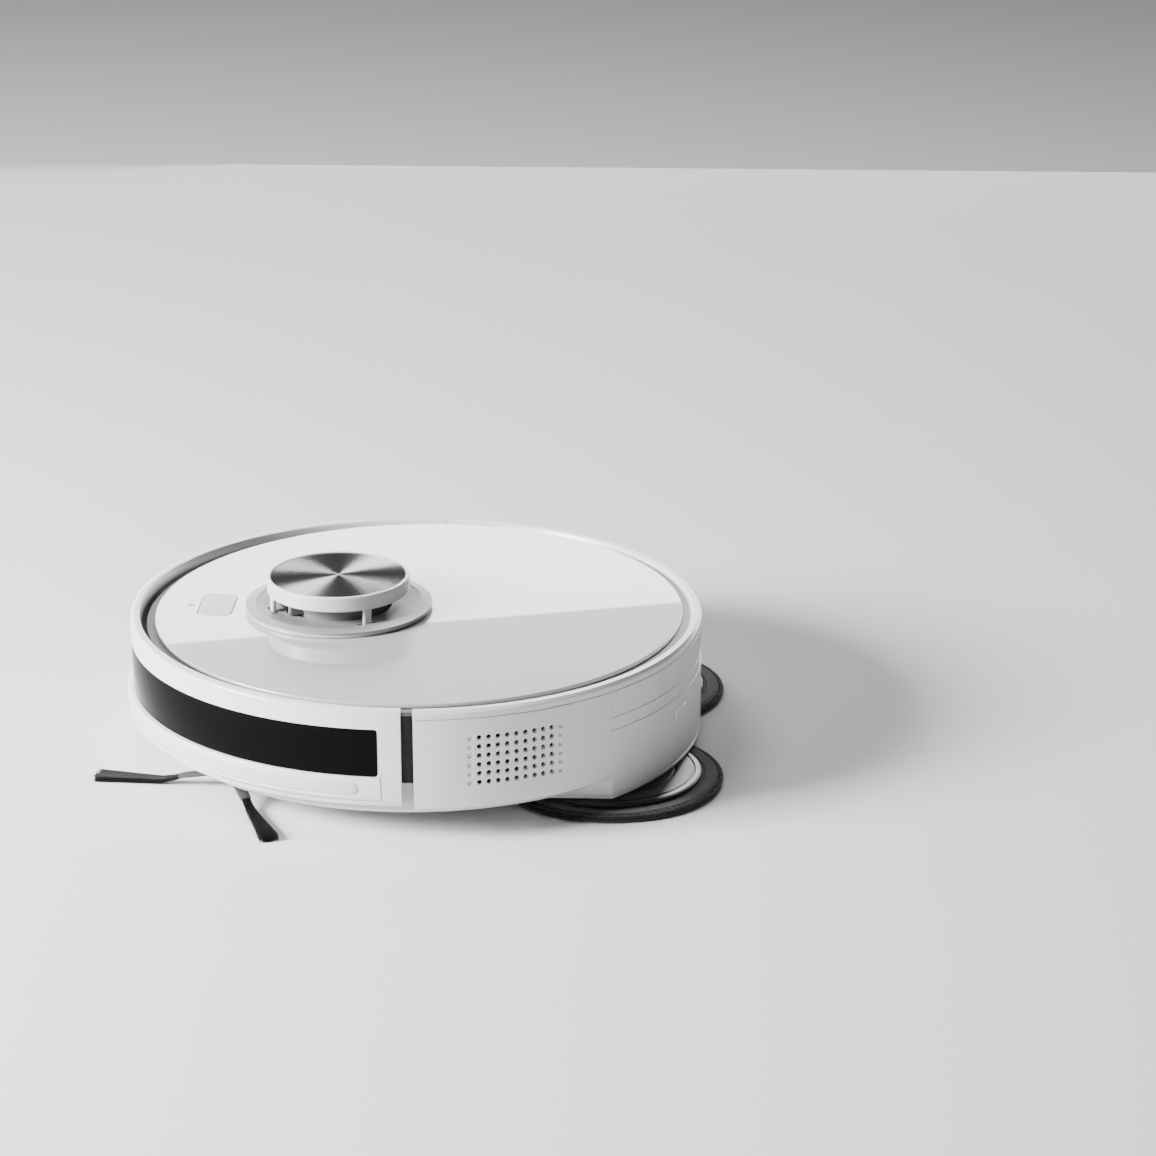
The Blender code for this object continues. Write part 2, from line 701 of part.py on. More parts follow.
def main_brush(rubber):
    """The roller: a core on end pins with slanting rubber fins."""
    half = [(1, p(87)), (PIN_R, p(87)), (PIN_R, p(80)), (10, p(78))]
    section = [(r, -x) for r, x in half] + half[::-1]
    core = ring_x("main_brush", section, (MOUTH_Y, ROLLER_Z), 24, rubber)
    for k in range(5):
        points, rings = [], 5
        for i in range(rings):
            x = p(77) * (2 * i / (rings - 1) - 1)
            twist = radians(72 * k + 70 * abs(x) / p(77))
            for r, w in ((8, -1.2), (ROLLER_R, -0.8), (ROLLER_R, 0.8), (8, 1.2)):
                y = MOUTH_Y + r * cos(twist) - w * sin(twist)
                points.append((x, y, ROLLER_Z + r * sin(twist) + w * cos(twist)))
        faces = [(0, 1, 2, 3), tuple(4 * (rings - 1) + j for j in range(4))]
        for i in range(rings - 1):
            for j in range(4):
                m = (j + 1) % 4
                faces.append((4 * i + j, 4 * i + m, 4 * i + 4 + m, 4 * i + 4 + j))
        join(core, solid("fin", points, faces))
    return hinge_at(core, 0, MOUTH_Y, ROLLER_Z)


def brush_guard(grey):
    ys = (MOUTH_Y - MOUTH_HALF - 3.7, MOUTH_Y + MOUTH_HALF + 3.7)
    frame = box("brush_guard", (-MOUTH_X - 4, MOUTH_X + 4), ys, (BASE_Z - GAP - 2.4, BASE_Z - GAP), grey)
    return cut(frame, box("mouth", (-MOUTH_X + 2, MOUTH_X - 2), (ys[0] + 3.7, ys[1] - 3.7), (0, 30)))


BRUSH_ANGLES = (-98, 22, 142)


def side_brush_hub(rubber):
    x, y = BRUSH_AT
    hub = rod("side_brush_hub", BRUSH_AT, 11, h(8.6), h(14.4), 24, rubber)
    join(hub, rod("neck", BRUSH_AT, 5, h(13), h(25), 16))
    for angle in BRUSH_ANGLES:
        points = []
        for side in (-1, 1):
            for r, z in ((7, h(9.2)), (7, h(12.2)), (p(33), h(7.2)), (p(33), h(4.4))):
                points.append((x + r, y + side * 3.5, z))
        sides = [(0, 1, 5, 4), (1, 2, 6, 5), (2, 3, 7, 6), (3, 0, 4, 7)]
        arm = solid("arm", points, [(0, 1, 2, 3), (4, 5, 6, 7), *sides])
        join(hub, turned(arm, angle, BRUSH_AT))
    return hinge_at(hub, x, y, h(8.6))


def side_brush_tuft(number, angle, black):
    """A flat bundle of bristles that bends down to the floor and fans out."""
    x, y = BRUSH_AT
    stations = (
        (p(33) + GAP, h(5.8), 1.4, 2.6),
        (p(41), 2.3, 1.4, 3.2),
        (p(60), 1.9, 1.3, 4.6),
        (p(BRUSH_REACH), 1.7, 1.2, 6.6),
    )
    points = []
    for r, z, thick, wide in stations:
        corners = ((-wide, -thick), (wide, -thick), (wide, thick), (-wide, thick))
        points += [(x + r, y + across, z + up) for across, up in corners]
    last = 4 * (len(stations) - 1)
    faces = [(0, 1, 2, 3), (last, last + 1, last + 2, last + 3)]
    for i in range(len(stations) - 1):
        for j in range(4):
            m = (j + 1) % 4
            faces.append((4 * i + j, 4 * i + m, 4 * i + 4 + m, 4 * i + 4 + j))
    return turned(solid(f"side_brush_tuft_{number}", points, faces, black), angle, BRUSH_AT)


# Rear module: shell, dust box, water tank, mop drive and the two spinning pads.


def module_outline(inset):
    """The plan of the module: straight sides and front, round back."""
    half, r = BAY_X - 0.6 - inset, BODY_R - inset
    corner = 90 - degrees(asin(half / r))
    return [(-half, BAY_Y + 0.5 + inset), (half, BAY_Y + 0.5 + inset)] + arc(r, corner, 180 - corner, 18)


def module_shell(silver):
    shell = prism("module_shell", module_outline(0), MODULE_Z, SEAM_Z - GAP, silver)
    cut(shell, prism("room", module_outline(WALL), MODULE_Z + 2.6, SEAM_Z + 9))
    front = (BAY_Y - 5, BAY_Y + 5)
    cut(shell, box("dust_way", (p(-56), p(-14)), front, (h(44.5), h(53))))
    cut(shell, box("air_way", (p(22), p(50)), front, (h(62), h(67.6))))
    cut(shell, box("latch_way", (p(-20), p(20)), (p(160), p(190)), (h(52), h(64))))
    for side in (-1, 1):
        inner, outer = BODY_R - 0.9, BODY_R + 5
        pad = [(inner, h(37.7)), (outer, h(37.7)), (outer, h(44.3)), (inner, h(44.3))]
        middle = 90 - side * 21
        cut(shell, sweep("contact_pocket", pad, middle - 2.8, middle + 2.8, step=2))
        cut(shell, rod("shaft_hole", (side * MOP_AT[0], MOP_AT[1]), 5.5, 0, h(14), 24))
    return shell


def dust_box(clear):
    xs, ys, zs = (p(-62), p(62)), (BAY_Y + 0.5 + WALL + GAP, p(104)), (h(31), h(75))
    shell = box("dust_box", xs, ys, zs, clear)
    cut(shell, box("room", (xs[0] + 2, xs[1] - 2), (ys[0] + 2, ys[1] - 2), (zs[0] + 2, zs[1] - 2)))
    front = (ys[0] - 5, ys[0] + 5)
    cut(shell, box("dust_way", (p(-56), p(-14)), front, (h(44.5), h(53))))
    return cut(shell, box("air_way", (p(22), p(50)), front, (h(62), h(67.6))))


def dust_filter(white):
    front = BAY_Y + 0.5 + WALL + GAP + 2 + GAP
    body = box("dust_filter", (p(18), p(54)), (front, front + 9), (h(56), h(75) - 2 - GAP), white)
    for k in range(6):
        x = p(21.5) + p(5.4) * k
        cut(body, box("pleat", (x, x + 2.2), (front + 3, front + 12), (h(57.5), h(71))))
    return body


def tank_outline(inset):
    """The tank fills the round back of the module, behind the dust box."""
    half, front, r = p(118) - inset, p(105) + inset, p(170) - inset
    corner = 90 - degrees(asin(half / r))
    notch = [(p(21) + inset, p(157) - inset), (-p(21) - inset, p(157) - inset)]
    back = arc(r, corner, 83 - inset / 4, 8) + notch + arc(r, 97 + inset / 4, 180 - corner, 8)
    return [(-half, front), (half, front)] + back


def water_tank(clear):
    tank = prism("water_tank", tank_outline(0), h(31), TANK_Z, clear)
    cut(tank, prism("room", tank_outline(2.2), h(31) + 2.2, TANK_Z - 2.2))
    return cut(tank, rod("filler", (p(70), p(130)), 8, TANK_Z - 5, TANK_Z + 5, 24))


def tank_plug(rubber):
    plug = rod("tank_plug", (p(70), p(130)), 7.7, TANK_Z - 2.6, TANK_Z + 0.8, 24, rubber)
    return join(plug, rod("flange", (p(70), p(130)), 10, TANK_Z + GAP, TANK_Z + 1.6, 24))


def mop_drive(black):
    x, y = MOP_AT
    zs = (MODULE_Z + 2.6 + GAP, h(30.5))
    case = box("mop_drive", (-x - p(22), x + p(22)), (y - p(20), y + p(20)), zs, black)
    for side in (-1, 1):
        cut(case, rod("bore", (side * x, y), 4.8, 0, h(25), 20))
    return case


def mop_plate(side, grey):
    at = (side * MOP_AT[0], MOP_AT[1])
    r = MOP_R - 13.5
    disc = [(0, 5.3), (r, 5.3), (r, 6.6), (r - 1.4, h(8) - 0.4), (0, h(8) - 0.4)]
    plate = sweep(mirror_name("mop_plate", side), disc, centre=at, step=10, mat=grey)
    join(plate, rod("shaft", at, 4.5, 6, h(23), 20))
    return hinge_at(plate, *at, 5.3)


def mop_cloth(side, fabric):
    at = (side * MOP_AT[0], MOP_AT[1])
    r = MOP_R
    pad = [(0, 0), (r - 2.5, 0), (r, 1.6), (r, 3.4), (r - 2, 5), (0, 5)]
    return sweep(mirror_name("mop_cloth", side), pad, centre=at, step=10, mat=fabric)


def module_release(grey):
    xs = (p(-20) + GAP, p(20) - GAP)
    return hinge_at(
        box("module_release", xs, (p(168), BODY_R * 0.9935 - 0.2), (h(52) + GAP, h(64) - GAP), grey),
        0, p(173), h(58),
    )


def charge_contact(side, metal):
    inner, outer = BODY_R - 0.6, BODY_R + 0.4
    strip = [(inner, h(38)), (outer, h(38)), (outer, h(44)), (inner, h(44))]
    start = 87.4 - side * 21
    return sweep(mirror_name("charge_contact", side), strip, start, start + 5.2, step=2, mat=metal)


def build():
    clear_scene()
    silver = material("silver_shell", (0.83, 0.84, 0.85), 0.35)
    gloss = material("deck_gloss", (0.80, 0.81, 0.82), 0.08)
    grey = material("grey_plastic", (0.45, 0.46, 0.47), 0.5)
    black = material("black_plastic", (0.03, 0.03, 0.03), 0.5)
    smoke = material("smoked_window", (0.01, 0.01, 0.012), 0.05)
    soft = material("soft_strip", (0.70, 0.71, 0.72), 0.7)
    metal = material("spun_metal", (0.78, 0.79, 0.80), 0.25, 1.0)
    rubber = material("rubber", (0.03, 0.03, 0.03), 0.8)
    bristle = material("bristle", (0.02, 0.02, 0.02), 0.7)
    green = material("circuit_board", (0.02, 0.18, 0.08), 0.4)
    clear = material("clear_plastic", (0.30, 0.31, 0.33), 0.15)
    fabric = material("mop_fabric", (0.06, 0.06, 0.07), 0.95)
    paper = material("filter_paper", (0.85, 0.84, 0.80), 0.9)
    wrap = material("battery_wrap", (0.05, 0.10, 0.30), 0.45)
    contact = material("contact_metal", (0.85, 0.83, 0.78), 0.2, 1.0)

    chassis_base(grey)
    chassis_wall(grey)
    inner_wall(black)
    top_cover(silver)
    top_panel(gloss)
    bumper_shell(silver)
    bumper_window(smoke)
    bumper_skirt(silver)
    bumper_strip(soft)
    turret_base(grey)
    turret_cap(silver)
    cap_disc(metal)
    lidar_drum(grey)
    lidar_window(smoke)
    lidar_mount(black)
    deck_key("power_key", 1, silver)
    deck_key("home_key", -1, silver)
    button_board(green)
    status_lens(clear)
    brush_housing(black)
    suction_duct(grey)
    fan_housing(grey)
    fan_impeller(black)
    battery_pack(wrap)
    main_board(green)
    brush_motor(black)
    side_brush_motor(black)
    caster_fork(grey)
    caster_wheel(rubber)
    main_brush(rubber)
    brush_guard(grey)
    side_brush_hub(rubber)
    for number, angle in enumerate(BRUSH_ANGLES, 1):
        side_brush_tuft(number, angle, bristle)
    module_shell(silver)
    dust_box(clear)
    dust_filter(paper)
    water_tank(clear)
    tank_plug(rubber)
    mop_drive(black)
    module_release(grey)
    for side in (1, -1):
        side_shell(side, silver)
        bump_switch(side, black)
        cliff_sensor(side, smoke)
        wheel_arm(side, black)
        wheel_hub(side, grey)
        wheel_tyre(side, rubber)
        mop_plate(side, grey)
        mop_cloth(side, fabric)
        charge_contact(side, contact)


build()
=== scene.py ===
import random
from math import asin, cos, degrees, pi, radians, sin, sqrt

import bmesh
import bpy
from mathutils import Matrix, Vector


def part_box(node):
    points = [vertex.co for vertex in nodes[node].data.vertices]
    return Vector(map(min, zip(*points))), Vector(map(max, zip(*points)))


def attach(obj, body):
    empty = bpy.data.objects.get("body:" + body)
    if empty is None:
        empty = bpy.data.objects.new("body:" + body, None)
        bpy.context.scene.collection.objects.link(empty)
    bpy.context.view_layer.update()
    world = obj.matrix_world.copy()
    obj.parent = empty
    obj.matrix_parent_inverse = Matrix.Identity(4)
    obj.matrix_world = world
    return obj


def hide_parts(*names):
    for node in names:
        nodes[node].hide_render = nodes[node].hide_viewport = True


# Looks for the robot vacuum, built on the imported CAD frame, piece by piece as it is assembled.
# Lengths are written in millimetres and become metres where a mesh is made.

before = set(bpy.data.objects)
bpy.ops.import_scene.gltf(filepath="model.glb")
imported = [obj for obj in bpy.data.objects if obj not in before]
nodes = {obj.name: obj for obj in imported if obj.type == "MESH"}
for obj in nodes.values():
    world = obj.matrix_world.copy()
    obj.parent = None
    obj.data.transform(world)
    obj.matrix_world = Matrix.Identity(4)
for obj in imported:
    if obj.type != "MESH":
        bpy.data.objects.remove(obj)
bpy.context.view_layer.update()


# ---- Floor pan ----
# The pan and the low wall on its edge are moulded in pale grey ABS with a fine spark-eroded grain.
# Everything else is screwed to them from above, so no fastener shows on the outside.

MM = 0.001


def mix_node(tree, kind, factor, first, second):
    """A Mix node between two constants, driven by factor. Returns its output."""
    node = tree.nodes.new("ShaderNodeMix")
    node.data_type = kind
    inputs = [s for s in node.inputs if s.enabled]
    tree.links.new(factor, inputs[0])
    inputs[1].default_value = first
    inputs[2].default_value = second
    return next(s for s in node.outputs if s.enabled)


def noise_node(tree, place, scale, detail=3.0):
    node = tree.nodes.new("ShaderNodeTexNoise")
    node.inputs["Scale"].default_value = scale
    node.inputs["Detail"].default_value = detail
    tree.links.new(place.outputs["Object"], node.inputs["Vector"])
    return node.outputs["Fac"]


def add_bump(tree, shader, height, strength, distance):
    node = tree.nodes.new("ShaderNodeBump")
    node.inputs["Strength"].default_value = strength
    node.inputs["Distance"].default_value = distance
    tree.links.new(height, node.inputs["Height"])
    tree.links.new(node.outputs["Normal"], shader.inputs["Normal"])


def moulded(name, colour, rough, grain=1300.0, relief=0.12, mottle=0.03, metal=0.0, specular=0.5):
    """Moulded plastic: a fine grain in the relief and gloss, and a slow drift in the colour."""
    mat = bpy.data.materials.new(name)
    mat.use_nodes = True
    tree = mat.node_tree
    shader = tree.nodes["Principled BSDF"]
    shader.inputs["Metallic"].default_value = metal
    shader.inputs["Specular IOR Level"].default_value = specular
    place = tree.nodes.new("ShaderNodeTexCoord")
    slow = noise_node(tree, place, 22.0)
    fine = noise_node(tree, place, grain)
    dark = (*[c * (1 - mottle) for c in colour], 1)
    light = (*[min(1.0, c * (1 + mottle)) for c in colour], 1)
    tree.links.new(mix_node(tree, "RGBA", slow, dark, light), shader.inputs["Base Color"])
    gloss = mix_node(tree, "FLOAT", fine, max(0.02, rough * 0.82), min(1.0, rough * 1.18))
    tree.links.new(gloss, shader.inputs["Roughness"])
    add_bump(tree, shader, fine, relief, 0.0001)
    return mat


def finish_node(name, mat):
    """Gives a CAD piece that stays as it is its real finish."""
    for slot in nodes[name].material_slots:
        slot.material = mat


pale_abs = moulded("pale_abs", (0.60, 0.61, 0.62), 0.45)
finish_node("chassis_base", pale_abs)
finish_node("chassis_wall", pale_abs)


# ---- Bulkhead and bumper switches ----
# A black ABS wall stands behind the bumper, matt so that it disappears in the gaps at each side.
# Two micro switches are glued to it, and the bumper's carrier presses them.

black_abs = moulded("black_abs", (0.007, 0.007, 0.0075), 0.62, grain=900.0, relief=0.2)
for name in ("inner_wall", "bump_switch_left", "bump_switch_right"):
    finish_node(name, black_abs)


# ---- Inside: battery, boards, motors and air path ----
# A shrink-wrapped battery pack, green circuit boards with solder mask, sealed motors, a moulded
# brush chamber, a suction duct and the fan in its scroll. They are clipped between pan and cover.


def circuit_board():
    """Solder mask with a pattern of copper tracks a few tenths of a millimetre wide."""
    mat = moulded("solder_mask", (0.012, 0.12, 0.05), 0.32, grain=2200.0, relief=0.05)
    tree = mat.node_tree
    shader = tree.nodes["Principled BSDF"]
    place = next(n for n in tree.nodes if n.type == "TEX_COORD")
    tracks = tree.nodes.new("ShaderNodeTexBrick")
    tracks.inputs["Scale"].default_value = 160.0
    tracks.inputs["Color1"].default_value = (0.012, 0.12, 0.05, 1)
    tracks.inputs["Color2"].default_value = (0.016, 0.16, 0.07, 1)
    tracks.inputs["Mortar"].default_value = (0.03, 0.26, 0.12, 1)
    tracks.inputs["Mortar Size"].default_value = 0.03
    tree.links.new(place.outputs["Object"], tracks.inputs["Vector"])
    tree.links.new(tracks.outputs["Color"], shader.inputs["Base Color"])
    return mat


solder_mask = circuit_board()
shrink_wrap = moulded("shrink_wrap", (0.04, 0.09, 0.28), 0.35, grain=260.0, relief=0.35, mottle=0.12)
duct_abs = moulded("duct_abs", (0.33, 0.34, 0.35), 0.5)
motor_black = moulded("motor_black", (0.03, 0.03, 0.032), 0.42, grain=700.0)
finish_node("battery_pack", shrink_wrap)
finish_node("main_board", solder_mask)
finish_node("button_board", solder_mask)
finish_node("suction_duct", duct_abs)
finish_node("fan_housing", duct_abs)
for name in ("fan_impeller", "brush_motor", "side_brush_motor", "brush_housing", "lidar_mount"):
    finish_node(name, motor_black)


# ---- Driven wheels ----
# Each wheel has a ribbed rubber tyre on a grey hub and hangs on a black gear case, which swings
# about a pin in the pan's ears. The tyre is moulded with slanting lugs for grip on carpet.


def mesh_piece(name, points, faces, mat, sharp=38.0):
    """A mesh object in millimetres, smooth except where its faces meet at more than sharp."""
    mesh = bpy.data.meshes.new(name)
    mesh.from_pydata([Vector(point) * MM for point in points], [], faces)
    work = bmesh.new()
    work.from_mesh(mesh)
    bmesh.ops.remove_doubles(work, verts=work.verts, dist=1e-7)
    bmesh.ops.recalc_face_normals(work, faces=work.faces)
    work.to_mesh(mesh)
    work.free()
    mesh.polygons.foreach_set("use_smooth", [True] * len(mesh.polygons))
    mesh.set_sharp_from_angle(angle=radians(sharp))
    mesh.materials.append(mat)
    obj = bpy.data.objects.new(name, mesh)
    bpy.context.scene.collection.objects.link(obj)
    return obj


def mount(obj, body, replaced=()):
    """Fixes a piece to a moving body, and hides the CAD pieces it stands for."""
    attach(obj, body)
    if replaced:
        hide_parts(*replaced)
    return obj


def eased(profile, radius, guard=0.12):
    """Rounds each corner of a closed section. A guard point each side keeps the flats flat."""
    made = []
    count = len(profile)
    for i in range(count):
        before, at, after = (Vector(profile[(i + k) % count]) for k in (-1, 0, 1))
        back, on = before - at, after - at
        reach = min(radius, back.length * 0.38, on.length * 0.38)
        if reach < 0.02:
            made.append(tuple(at))
            continue
        back, on = back.normalized(), on.normalized()
        first, last = at + back * reach, at + on * reach
        step = min(guard, reach * 0.25)
        made.append(tuple(first + back * step))
        for t in (0.0, 0.33, 0.67, 1.0):
            made.append(tuple(first * (1 - t) ** 2 + at * 2 * t * (1 - t) + last * t * t))
        made.append(tuple(last + on * step))
    return made


def turned_x(name, profile, at, sides, mat, edge=0.5, sharp=38.0):
    """A closed section of (radius, x) turned about the X axis through at = (y, z)."""
    shape = eased(profile, edge)
    points, faces, size = [], [], len(shape)
    for i in range(sides):
        turn = 2 * pi * i / sides
        points += [(x, at[0] + r * cos(turn), at[1] + r * sin(turn)) for r, x in shape]
    for i in range(sides):
        a, b = i * size, (i + 1) % sides * size
        faces += [(a + k, a + (k + 1) % size, b + (k + 1) % size, b + k) for k in range(size)]
    return mesh_piece(name, points, faces, mat, sharp)


def tread(name, side, mat):
    """The tyre: a band whose outside steps in and out as slanting lugs."""
    low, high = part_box(f"wheel_tyre_{side}")
    x0, x1 = low.x / MM, high.x / MM
    y, z = (low.y + high.y) / 2 / MM, (low.z + high.z) / 2 / MM
    outer = (high.z - low.z) / 2 / MM - 0.05
    inner, lugs, columns = 25.95, 34, 9
    points, faces = [], []
    size = columns + 4
    steps = lugs * 6
    for i in range(steps):
        ring = [(inner, x0 + 0.2), (outer - 3.2, x0), (outer - 2.2, x0)]
        for c in range(columns):
            t = c / (columns - 1)
            phase = (i / 6 + 0.5 * abs(2 * t - 1)) % 1
            groove = 2.0 if phase > 0.62 else 0.0
            shoulder = 1.3 if c in (0, columns - 1) else 0.0
            ring.append((outer - max(groove, shoulder), x0 + 0.7 + (x1 - x0 - 1.4) * t))
        ring.append((inner, x1 - 0.2))
        turn = 2 * pi * i / steps
        points += [(x, y + r * cos(turn), z + r * sin(turn)) for r, x in ring]
    for i in range(steps):
        a, b = i * size, (i + 1) % steps * size
        faces += [(a + k, a + (k + 1) % size, b + (k + 1) % size, b + k) for k in range(size)]
    return mesh_piece(name, points, faces, mat, 30)


tyre_rubber = moulded("tyre_rubber", (0.022, 0.022, 0.023), 0.72, grain=800.0, relief=0.35, mottle=0.15)
hub_grey = moulded("hub_grey", (0.30, 0.31, 0.32), 0.42)
for side, way in (("left", 1), ("right", -1)):
    mount(tread(f"tread_{side}", side, tyre_rubber), f"wheel_{side}", [f"wheel_tyre_{side}"])
    section = [(r, way * x) for r, x in (
        (1.0, 102.8), (4.0, 102.8), (4.0, 112.2), (25.7, 112.2), (25.7, 129.0),
        (21.0, 129.0), (18.0, 125.0), (6.0, 125.0), (1.0, 127.0))]
    mount(turned_x(f"hub_{side}", section, (2, 35), 96, hub_grey), f"wheel_{side}",
          [f"wheel_hub_{side}"])
    finish_node(f"wheel_arm_{side}", motor_black)


# ---- Caster ----
# A small roller in a swivelling fork carries the front. The fork is moulded grey nylon and its
# stem clicks into the pan's socket.

roller_rubber = moulded("roller_rubber", (0.03, 0.03, 0.031), 0.55, grain=900.0, relief=0.25)
finish_node("caster_fork", hub_grey)
barrel = [(2.3, -6), (10.0, -6), (10.8, -5), (11.0, 0), (10.8, 5), (10.0, 6), (2.3, 6)]
mount(turned_x("caster_roller", barrel, (-136, 11), 72, roller_rubber), "caster_wheel",
      ["caster_wheel"])


# ---- Main brush ----
# A rubber roller with five chevron fins, moulded over a hard core whose end pins turn in the brush
# chamber. A snap-in guard of hard plastic frames the mouth below it.


def finned_roller():
    low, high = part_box("main_brush")
    y, z = (low.y + high.y) / 2 / MM, 22.5
    section = [(1, -87), (4, -87), (4, -80), (10, -78), (10, 78), (4, 80), (4, 87), (1, 87)]
    roller = turned_x("finned_roller", section, (y, z), 60, fin_rubber)
    points, faces = [], []
    stations = 49
    for fin in range(5):
        base = len(points)
        for i in range(stations):
            x = 77 * (2 * i / (stations - 1) - 1)
            twist = radians(72 * fin + 70 * abs(x) / 77)
            for r, w in ((8, -1.5), (13, -0.9), (17.4, -0.75), (17.9, 0), (17.4, 0.75), (13, 0.9), (8, 1.5)):
                points.append((x, y + r * cos(twist) - w * sin(twist), z + r * sin(twist) + w * cos(twist)))
        faces += [tuple(base + k for k in range(7)), tuple(base + 7 * (stations - 1) + k for k in range(7))]
        for i in range(stations - 1):
            for k in range(7):
                a, b, m = base + 7 * i, base + 7 * i + 7, (k + 1) % 7
                faces.append((a + k, a + m, b + m, b + k))
    fins = mesh_piece("roller_fins", points, faces, fin_rubber, 50)
    return roller, fins


fin_rubber = moulded("fin_rubber", (0.035, 0.036, 0.038), 0.6, grain=700.0, relief=0.25, mottle=0.1)
roller, fins = finned_roller()
mount(roller, "main_brush", ["main_brush"])
mount(fins, "main_brush", ["main_brush"])


def softened(node, name, mat, width):
    """A copy of a boxy CAD piece with its triangles cleared and its edges rounded."""
    work = bmesh.new()
    work.from_mesh(nodes[node].data)
    bmesh.ops.remove_doubles(work, verts=work.verts, dist=1e-6)
    bmesh.ops.dissolve_limit(work, angle_limit=radians(2), verts=work.verts, edges=work.edges)
    mesh = bpy.data.meshes.new(name)
    work.to_mesh(mesh)
    work.free()
    obj = bpy.data.objects.new(name, mesh)
    bpy.context.scene.collection.objects.link(obj)
    rounding = obj.modifiers.new("rounding", "BEVEL")
    rounding.width = width * MM
    rounding.segments = 3
    rounding.limit_method = "ANGLE"
    rounding.angle_limit = radians(40)
    rounding.use_clamp_overlap = True
    rounding.harden_normals = False
    applied(obj)
    obj.data.polygons.foreach_set("use_smooth", [True] * len(obj.data.polygons))
    obj.data.set_sharp_from_angle(angle=radians(32))
    even = obj.modifiers.new("even", "WEIGHTED_NORMAL")
    even.keep_sharp = True
    applied(obj)
    obj.data.materials.clear()
    obj.data.materials.append(mat)
    return obj


def applied(obj):
    """Writes the piece's modifiers into its mesh."""
    graph = bpy.context.evaluated_depsgraph_get()
    graph.update()
    made = bpy.data.meshes.new_from_object(obj.evaluated_get(graph))
    obj.modifiers.clear()
    obj.data = made
    return obj


mount(softened("brush_guard", "mouth_frame", hub_grey, 0.7), "chassis", ["brush_guard"])


# ---- Side brush ----
# Three soft rubber holders stand out from a hub on the motor's shaft. Each grips a flat bundle of
# crimped nylon bristles, cut straight across, which bends down and sweeps the floor.

HUB_AT = (97.0, -106.0)
ARM_ANGLES = (-98, 22, 142)


def turned_z(name, profile, centre, mat, start=0.0, end=360.0, step=1.5, edge=0.4, angles=None, sharp=38.0):
    """A closed section of (radius, height) turned about an upright line. It may be a function."""
    shape = profile if callable(profile) else lambda angle: profile
    whole = angles is None and end - start >= 360
    if angles is None:
        count = max(2, round((end - start) / step))
        angles = [start + (end - start) * i / count for i in range(count + (not whole))]
    points, faces = [], []
    for angle in angles:
        ring = eased(shape(angle), edge) if edge else shape(angle)
        turn = radians(angle)
        points += [(centre[0] + r * cos(turn), centre[1] + r * sin(turn), z) for r, z in ring]
    size = len(points) // len(angles)
    for i in range(len(angles) - (not whole)):
        a, b = i * size, (i + 1) % len(angles) * size
        faces += [(a + k, a + (k + 1) % size, b + (k + 1) % size, b + k) for k in range(size)]
    if not whole:
        faces += [tuple(range(size)), tuple(range(len(points) - size, len(points)))]
    return mesh_piece(name, points, faces, mat, sharp)


def holder(number, angle):
    """The rubber sleeve that grips a bundle, flat, tapering and dipping towards its end."""
    points, faces, sides = [], [], 12
    stations = ((6, 4.4, 1.6, 10.7), (14, 4.0, 1.6, 9.4), (24, 3.5, 1.5, 7.4), (31.5, 3.3, 1.4, 6.1),
                (33, 2.9, 1.0, 5.8))
    for reach, wide, thick, z in stations:
        for k in range(sides):
            t = 2 * pi * k / sides
            square = max(abs(cos(t)), abs(sin(t))) ** -0.6
            points.append((reach, wide * cos(t) * square, z + thick * sin(t) * square))
    for i in range(len(stations) - 1):
        for k in range(sides):
            a, m = i * sides, (k + 1) % sides
            faces.append((a + k, a + m, a + sides + m, a + sides + k))
    faces += [tuple(range(sides)), tuple(range(len(points) - sides, len(points)))]
    turn = Matrix.Rotation(radians(angle), 3, "Z")
    placed = [turn @ Vector(point) + Vector((*HUB_AT, 0)) for point in points]
    return mesh_piece(f"brush_holder_{number}", placed, faces, holder_rubber, 50)


def bristle_bundle(number, angle):
    """Many thin nylon bristles. They leave the holder flat, dip to the floor and fan out."""
    chance = random.Random(40 + number)
    points, faces = [], []
    turn = Matrix.Rotation(radians(angle), 3, "Z")
    for _ in range(300):
        across, up = chance.uniform(-1, 1), chance.uniform(-1, 1)
        length = 85.8 - abs(chance.gauss(0, 2.2))
        bend, thin = chance.uniform(-0.5, 0.5), chance.uniform(0.17, 0.26)
        base = len(points)
        path = []
        for reach, wide, thick, z in ((30, 2.3, 1.0, 6.3), (37, 2.6, 1.0, 4.1), (44, 3.0, 1.4, 2.5),
                                      (56, 3.7, 1.6, 2.3), (70, 4.7, 1.7, 2.3), (length, 6.0, 1.8, 2.2)):
            wave = bend * sin(reach * 0.5) * (reach - 30) / 60
            path.append(Vector((reach, across * wide + wave, max(0.3, z + up * thick))))
        for i, spot in enumerate(path):
            size = thin * (1 if i < len(path) - 1 else 0.8)
            for k in range(3):
                t = 2 * pi * k / 3
                point = spot + Vector((0, size * cos(t), size * sin(t)))
                points.append(turn @ point + Vector((*HUB_AT, 0)))
        for i in range(len(path) - 1):
            for k in range(3):
                a, m = base + 3 * i, (k + 1) % 3
                faces.append((a + k, a + m, a + 3 + m, a + 3 + k))
        faces.append((base + 3 * len(path) - 3, base + 3 * len(path) - 2, base + 3 * len(path) - 1))
    return mesh_piece(f"bristles_{number}", points, faces, bristle_nylon, 70)


